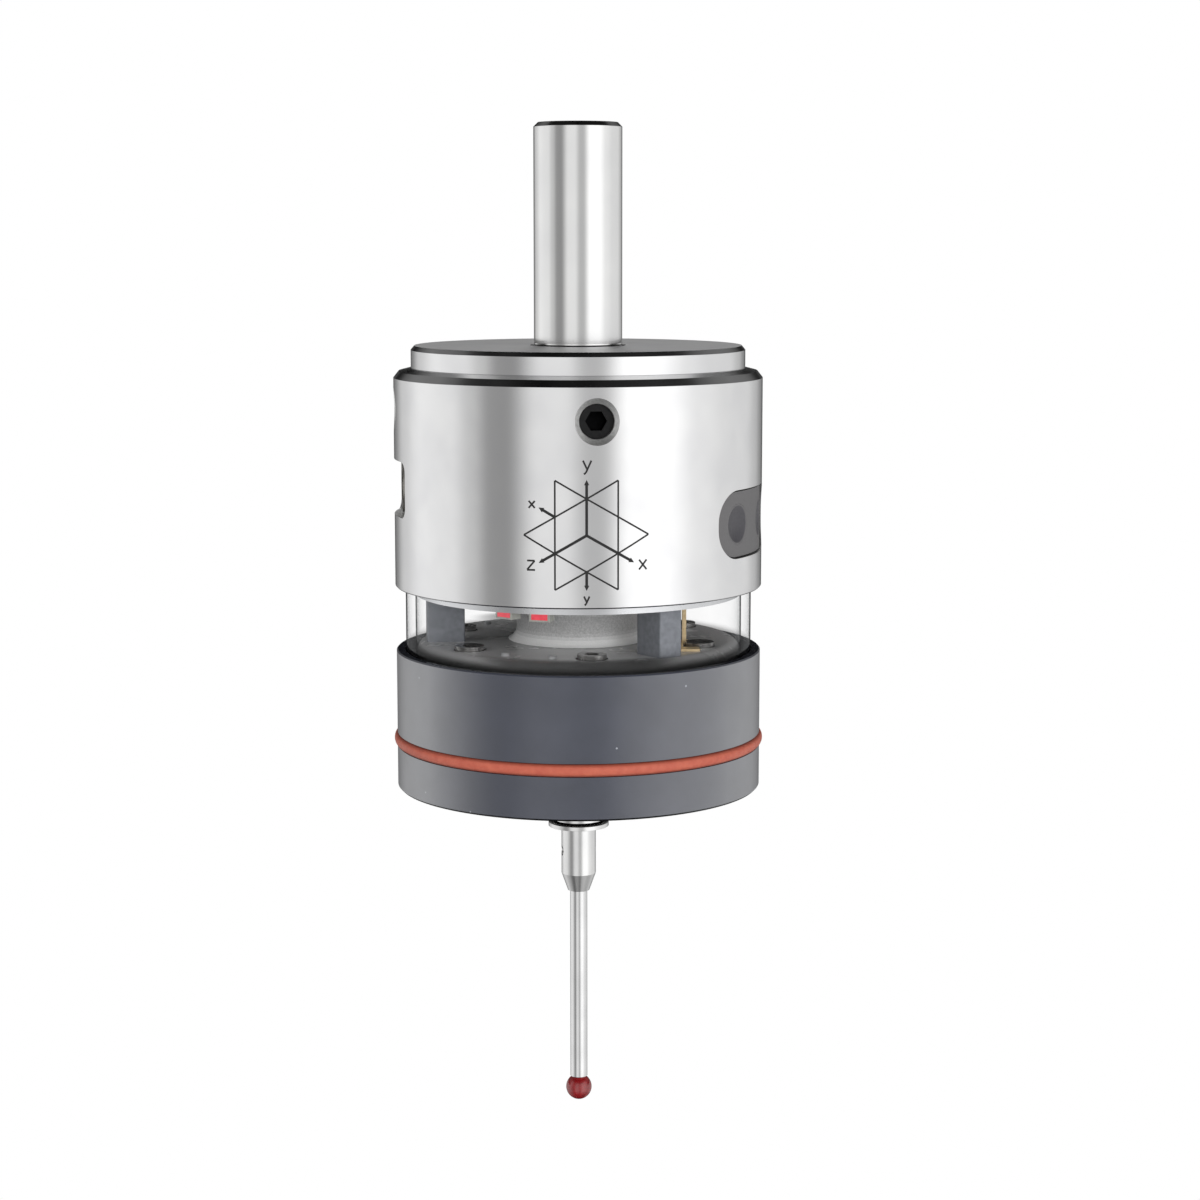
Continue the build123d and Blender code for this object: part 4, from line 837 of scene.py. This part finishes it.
letters = [
    ("y", (0.05, 8.02), 1.0, 0.98), ("y", (0.0, -6.55), 0.66, 0.64), ("x", (-5.9, 3.29), 0.68, 0.76),
    ("x", (6.15, -3.25), 0.86, 1.06), ("z", (-6.02, -3.25), 0.92, 1.0),
]
for kind, middle, scale_s, scale_z in letters:
    for a, b in glyph[kind]:
        place = [(middle[0] + p[0] * scale_s, middle[1] + p[1] * scale_z) for p in (a, b)]
        strokes.append((*place, letter))
strips = [stroke(*s) for s in strokes]
offsets = np.cumsum([0] + [len(points) for points, _ in strips[:-1]])
drawing = np.vstack([points for points, _ in strips])
ribbons = np.vstack([faces + start for (_, faces), start in zip(strips, offsets)])
mark_r, mark_angle, mark_z = body_r + 0.006, radians(2.92 - 6.09), -19.34
turn = mark_angle + drawing[:, 0] / body_r
wrapped = np.column_stack([mark_r * np.sin(turn), -mark_r * np.cos(turn), mark_z + drawing[:, 1]])
outward = np.column_stack([np.sin(turn), -np.cos(turn), np.zeros(len(turn))])
diagram = new_piece("axis_diagram", wrapped, ribbons.tolist(), marking, outward)
stands_for(diagram, "housing", "turned_steel")
print("diagram:", len(strokes), "strokes")

# %% [markdown]
# The window and what it shows
#
# Between the housings a clear tube lets the signal lamps shine out all round. Behind it stand the
# posts, the base plate with its sunk screws and the drum that holds the plunge spring.

# %% Window, base plate and drum
window_outline = [(18.69, -26.3), (18.69, -35.59), (19.79, -35.59), (19.79, -26.3)]
window = turned("window_tube", window_outline, window_clear, 0.05)
stands_for(window, "housing", "window_clear", "window_ring")

plate_rim = [(17.2 + 1.4 * sin(t), -35.0 + 1.4 * cos(t)) for t in np.linspace(0, pi / 2, 9)]
plate_outline = [(6.93, -33.6), *plate_rim, (18.6, -35.99), (6.93, -35.99)]
plate_screw_r = 15.0
screw_sunk = [(0, -36.5), (1.15, -36.5), (1.15, -34.1), (1.8, -34.1), (1.8, -33.0), (0, -33.0)]
tie_sunk = [(0, -36.5), (2.35, -36.5), (2.35, -34.49), (1.4, -34.49), (1.4, -33.0), (0, -33.0)]
cutters = [upright(f"sunk_hole_{i}", screw_sunk, plate_screw_r, 60 * i, plate_plastic) for i in range(6)]
cutters += [upright(f"tie_sunk_{a}", tie_sunk, tie_r, a, plate_plastic) for a in tie_angles]
steps = [("DIFFERENCE", cutter) for cutter in cutters]
base = cut("base_plate_turned", plate_outline, steps, plate_plastic, 0.02)
stands_for(base, "housing", "insulator", "base_plate")

flare = [(7.1 + 1.3 * (1 - cos(t)), -32.1 - 1.5 * sin(t)) for t in np.linspace(0, pi / 2, 7)]
dome = [(5.9 + 1.2 * sin(t), -30.2 + 1.2 * cos(t)) for t in np.linspace(0, pi / 2, 7)]
drum_foot = [(6.9, -33.6), (6.9, -35.9), (5.9, -35.9), (5.9, -30.4)]
drum_outline = [(2.63, -29.0), *dome, *flare, *drum_foot, (2.63, -30.4)]
drum = turned("spring_drum", drum_outline, drum_cast, 0.03)
stands_for(drum, "housing", "drum_cast", "spring_housing")

# %% [markdown]
# The lower housing and its ring
#
# The cup below the window is turned from aluminium and anodised dark. A ring of orange silicone sits in
# a groove round it and stands a third of a millimetre proud. Its section is an ellipse, a little taller
# than deep, because the stretched ring is pressed into the groove: its normal at a point leans by the
# ratio of the two half axes.

# %% Lower housing and ring
tapped = [(0, -42.99), (1.03, -42.99), (1.03, -35.5), (0, -35.5)]
cutters = [upright(f"tapped_hole_{i}", tapped, plate_screw_r, 60 * i, drilled_steel) for i in range(6)]
cup_r, groove_r, bore_r = 20.88, 20.02, 12.6
cup_outline = [
    (19.915, -34.59), (cup_r - 0.15, -34.59), (cup_r, -34.74), (cup_r, -44.2), (groove_r, -44.2),
    (groove_r, -45.66), (cup_r, -45.66), (cup_r, -50.3), (cup_r - 0.24, -50.54), (7, -50.54), (5.5, -49.54),
    (5.5, -47.94), (bore_r, -47.94), (bore_r, -35.99), (19.915, -35.99),
]
steps = [("DIFFERENCE", cutter) for cutter in cutters]
lower = cut("lower_housing_turned", cup_outline, steps, anodised, 0.04)
stands_for(lower, "housing", "anodised", "lower_housing")

ring_turn = np.linspace(0, 2 * pi, 48, endpoint=False)
ring_r, ring_z, ring_deep, ring_tall = 20.62, -44.93, 0.6, 0.73
ring_section = np.column_stack([
    ring_r + ring_deep * np.cos(ring_turn), ring_z + ring_tall * np.sin(ring_turn),
])
ring_normals = np.column_stack([ring_tall * np.cos(ring_turn), ring_deep * np.sin(ring_turn)])
ring_normals /= np.linalg.norm(ring_normals, axis=1, keepdims=True)
points, faces, normals = revolve(ring_section, ring_normals, 256)
o_ring = new_piece("silicone_ring", points, faces, ring_orange, normals)
stands_for(o_ring, "housing", "ring_orange", "o_ring")
print("ring", len(faces), "faces")

# %% [markdown]
# The stylus
#
# The carrier ends in a thin flange. The steel holder screws into it, and a cross hole takes the pin it
# is tightened with. The stem is ground carbide, and the ball is ruby, round to a fraction of a micron.

# %% Carrier, holder, stem and ball
pivot_z, socket_r, dome_r, lip, stalk_r = -40.0, 2.04, 7.698, 0.8, 2.5
socket_turn = np.linspace(0, np.arccos(lip / socket_r), 12)
socket = [(socket_r * sin(t), pivot_z - socket_r * cos(t)) for t in socket_turn]
dome_turn = np.linspace(np.arcsin(lip / dome_r), np.arccos(stalk_r / dome_r), 24)
seat = [(dome_r * cos(t), pivot_z - dome_r * sin(t)) for t in dome_turn]
groove_low, groove_high, collar_r, flange_r = -55.08, -54.9, 2.95, 3.5
carrier_outline = [
    *socket, *seat, (stalk_r, -51.5), (collar_r, -51.5), (collar_r, groove_high), (2.7, groove_high),
    (2.7, groove_low), (flange_r - 0.12, groove_low), (flange_r, -55.2), (flange_r, -55.66), (1.53, -55.66),
    (1.53, -51.31), (0, -51.31),
]
carrier = turned("carrier_turned", carrier_outline[::-1], stylus_steel, 0.02, 192, 3)
stands_for(carrier, "carrier", "carrier_steel", "carrier")
# The groove under the carrier's collar is painted black: a painted shade for the dark gap
paint_undercut_shade(carrier, collar_r - 0.03, groove_low - 0.03, groove_high + 0.03)

holder_outline = [
    (0, -51.46), (1.5, -51.46), (1.5, -55.66), (2, -55.66), (2, -61.3), (1.25, -63.38), (1.03, -63.38),
    (1.03, -60.38), (0, -60.38),
]
cross_hole = [(0, -3), (1.0, -3), (0.575, -1.86), (0.575, 1.86), (1.0, 3), (0, 3)]
cross = drill("cross_hole", cross_hole, 96.0, -58.6, stylus_steel, 48)
holder = cut("stylus_holder", holder_outline, [("DIFFERENCE", cross)], stylus_steel, 0.04, 128)
stands_for(holder, "carrier", "stylus_steel", "stylus_base")

stem_outline = [(0, -60.38), (1, -60.38), (1, -85.87), (0.6, -85.87), (0.6, -86.63), (0, -86.63)]
stem = turned("stylus_stem_ground", stem_outline, carbide, 0.03, 128)
stands_for(stem, "carrier", "carbide", "stylus_stem")

ball_r, ball_z = 1.5, -87.23
ball_turn = np.linspace(-pi / 2, pi / 2, 65)
ball_n = np.column_stack([np.cos(ball_turn), np.sin(ball_turn)])
ball_n[[0, -1], 0] = 0
points, faces, normals = revolve(ball_n * ball_r + np.array([0, ball_z]), ball_n, 128)
ball = new_piece("ruby_tip", points, faces, ruby, normals)
stands_for(ball, "carrier", "ruby", "ruby_ball")
print("ball", len(faces), "faces")

# %% [markdown]
# The plunge spring
#
# The spring is cold-wound from drawn wire, and it shortens when the stylus is pushed up. The CAD model
# shows it at rest, so a new coil stands for it, at rest too, with its top on the drum.

# %% Plunge spring
coil_r, wire_r, coil_low, coil_high, coil_pitch, stroke_mm = 4.6, 0.31, -36.89, -30.71, 1.37333, 2.5
coil_steps, wire_steps = 720, 16
share = np.linspace(0, 1, coil_steps)[:, None]
wind = share * 2 * pi * (coil_high - coil_low) / coil_pitch
lead = coil_pitch / (2 * pi)
# Along the coil the centre is (r cos w, r sin w, low + lead w). Across it, out is (cos w, sin w, 0), and up
# is out crossed with the direction of travel.
centre = np.column_stack([coil_r * np.cos(wind), coil_r * np.sin(wind), coil_low + lead * wind])
out = np.column_stack([np.cos(wind), np.sin(wind), np.zeros(coil_steps)])
travel = np.column_stack([-coil_r * np.sin(wind), coil_r * np.cos(wind), np.full(coil_steps, lead)])
travel /= np.linalg.norm(travel, axis=1, keepdims=True)
above = np.cross(out, travel)
round_wire = np.linspace(0, 2 * pi, wire_steps, endpoint=False)
spokes = out[:, None, :] * np.cos(round_wire)[:, None] + above[:, None, :] * np.sin(round_wire)[:, None]
skin = (centre[:, None, :] + wire_r * spokes).reshape(-1, 3)
grid = np.arange(coil_steps * wire_steps).reshape(coil_steps, wire_steps)
turned_grid = np.roll(grid, -1, 1)
faces = np.stack([grid[:-1], grid[1:], turned_grid[1:], turned_grid[:-1]], 2).reshape(-1, 4).tolist()
faces += [grid[0].tolist(), grid[-1, ::-1].tolist()]
spring = new_piece("spring_coil", skin, faces, spring_wire)
spring.data.set_sharp_from_angle(angle=radians(60))
stands_for(spring, "housing", "spring_steel", "plunge_spring")
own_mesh(spring)
print("spring", len(faces), "faces")

# %% [markdown]
# The keypad
#
# A thick film fills the pocket, with its face curved like the housing. It is a turned ring that a
# stadium-shaped prism cuts a piece out of. Each button fills a hole in it and ends in a shallow dish for a
# fingertip. The button is turned about an axis that points outward, and its face is then bent to the
# film's own curve, so that both look like one soft sheet.

# %% Film and buttons
film_r = 20.7
film_outline = [(17.85, -24), (film_r, -24), (film_r, -14.5), (17.85, -14.5)]
film_edge = prism("film_edge", keypad_half - 0.2, 3.61, 3.2, 16, outside, keypad_angle, keypad_z, keypad_film)
steps = [("INTERSECT", film_edge)]
# Each button's hole is as wide as the button down to a step, and as wide as its stem below
wide_hole = [(0, 18.4), (2.24, 18.4), (2.24, outside), (0, outside)]
narrow_hole = [(0, 15), (1.0, 15), (1.0, 19.5), (0, 19.5)]
for angle_deg in button_angles:
    for outline in (wide_hole, narrow_hole):
        steps.append(("DIFFERENCE", drill("film_hole", outline, angle_deg, keypad_z, keypad_film)))
film = cut("keypad_film_moulded", film_outline, steps, keypad_film, 0.02, 512)
stands_for(film, "housing", "keypad_film", "keypad_bezel")

dish, dish_r, button_r, stem_r, button_back = 0.5, 2.14, 2.22, 0.8, 19.0
bowl = [(dish_r * t, film_r - dish * (1 - t * t)) for t in np.linspace(1, 0, 17)]
button_outline = [
    (0, 16.3), (stem_r, 16.3), (stem_r, button_back), (button_r, button_back), (button_r, film_r), *bowl,
]
points, faces, normals = revolve(*rounded(button_outline, 0.02, 3), 96)
on_face = points[:, 2] > button_back + 0.5
points[on_face, 2] -= film_r - np.sqrt(film_r**2 - points[on_face, 0] ** 2)
normals[on_face, 0] += points[on_face, 0] / film_r
normals /= np.linalg.norm(normals, axis=1, keepdims=True)
for node, body, angle_deg in zip(("button_1", "button_2"), ("button_left", "button_right"), button_angles):
    skin, outward = facing(points, angle_deg, keypad_z), facing(normals, angle_deg, 0)
    key = new_piece(node + "_moulded", skin, faces, button_rubber, outward)
    stands_for(key, body, "button_rubber", node)
print("buttons at", keypad_z, "mm")

# %% [markdown]
# The pieces that stay as CAD made them
#
# Screws, posts, boards and small parts already have the right shape. Their meshes come as loose
# triangles, so a small tree of geometry nodes joins the triangles and shades them smooth up to an edge
# of 35 degrees, without touching the mesh itself. Then each gets its finish. What a new piece stands for
# has its finish already.

# %% Smooth shading for the CAD pieces
joiner = bpy.data.node_groups.new("join_and_shade", "GeometryNodeTree")
joiner.interface.new_socket("Geometry", in_out="INPUT", socket_type="NodeSocketGeometry")
joiner.interface.new_socket("Geometry", in_out="OUTPUT", socket_type="NodeSocketGeometry")
came = add(joiner, "NodeGroupInput")
merged = add(joiner, "GeometryNodeMergeByDistance", {}, {"Geometry": came, "Distance": 1e-7})
soft = add(joiner, "GeometryNodeSetShadeSmooth", {"domain": "FACE"},
           {"Geometry": merged, "Shade Smooth": True})
steep = add(joiner, "GeometryNodeInputMeshEdgeAngle").outputs["Unsigned Angle"]
sharp = add(joiner, "FunctionNodeCompare", {"operation": "GREATER_THAN"}, {0: steep, 1: radians(35)})
shaded = add(joiner, "GeometryNodeSetShadeSmooth", {"domain": "EDGE"},
             {"Geometry": soft, "Selection": sharp, "Shade Smooth": False})
add(joiner, "NodeGroupOutput", {}, {0: shaded})
print("tree of geometry nodes:", joiner.name)

# %% Finishes for the CAD pieces
kept_as_made = [
    (black_oxide_and_painted_shade, "centering_screws clamp_screw"),
    (screw_steel, "clamp_washer board_screws tie_screws plate_screws"),
    (nickel, "jack_socket jack_nut battery"),
    (brass, "battery_contacts contact_strip guide_bush"),
    (plate_metal, "upper_plate"),
    (post_metal, "spacer_posts"),
    (stylus_steel, "plunger"),
    (spring_wire, "retaining_clip"),
    (bearing_steel, "pivot_ball contact_balls"),
    (seat_ceramic, "contact_ring"),
    (solder, "contact_pads"),
    (board_green, "switch_board main_board lamp_board"),
    (chip_resin, "board_parts"),
    (lamp_case, "lamps"),
    (lamp_red, "lamp_lenses"),
    (seal_rubber, "window_seals"),
]
for finish, names in kept_as_made:
    for name in names.split():
        dress(name, finish)
        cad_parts[name].modifiers.new("join_and_shade", "NODES").node_group = joiner
print("dressed", len(" ".join(names for _, names in kept_as_made).split()), "CAD pieces as they were made")
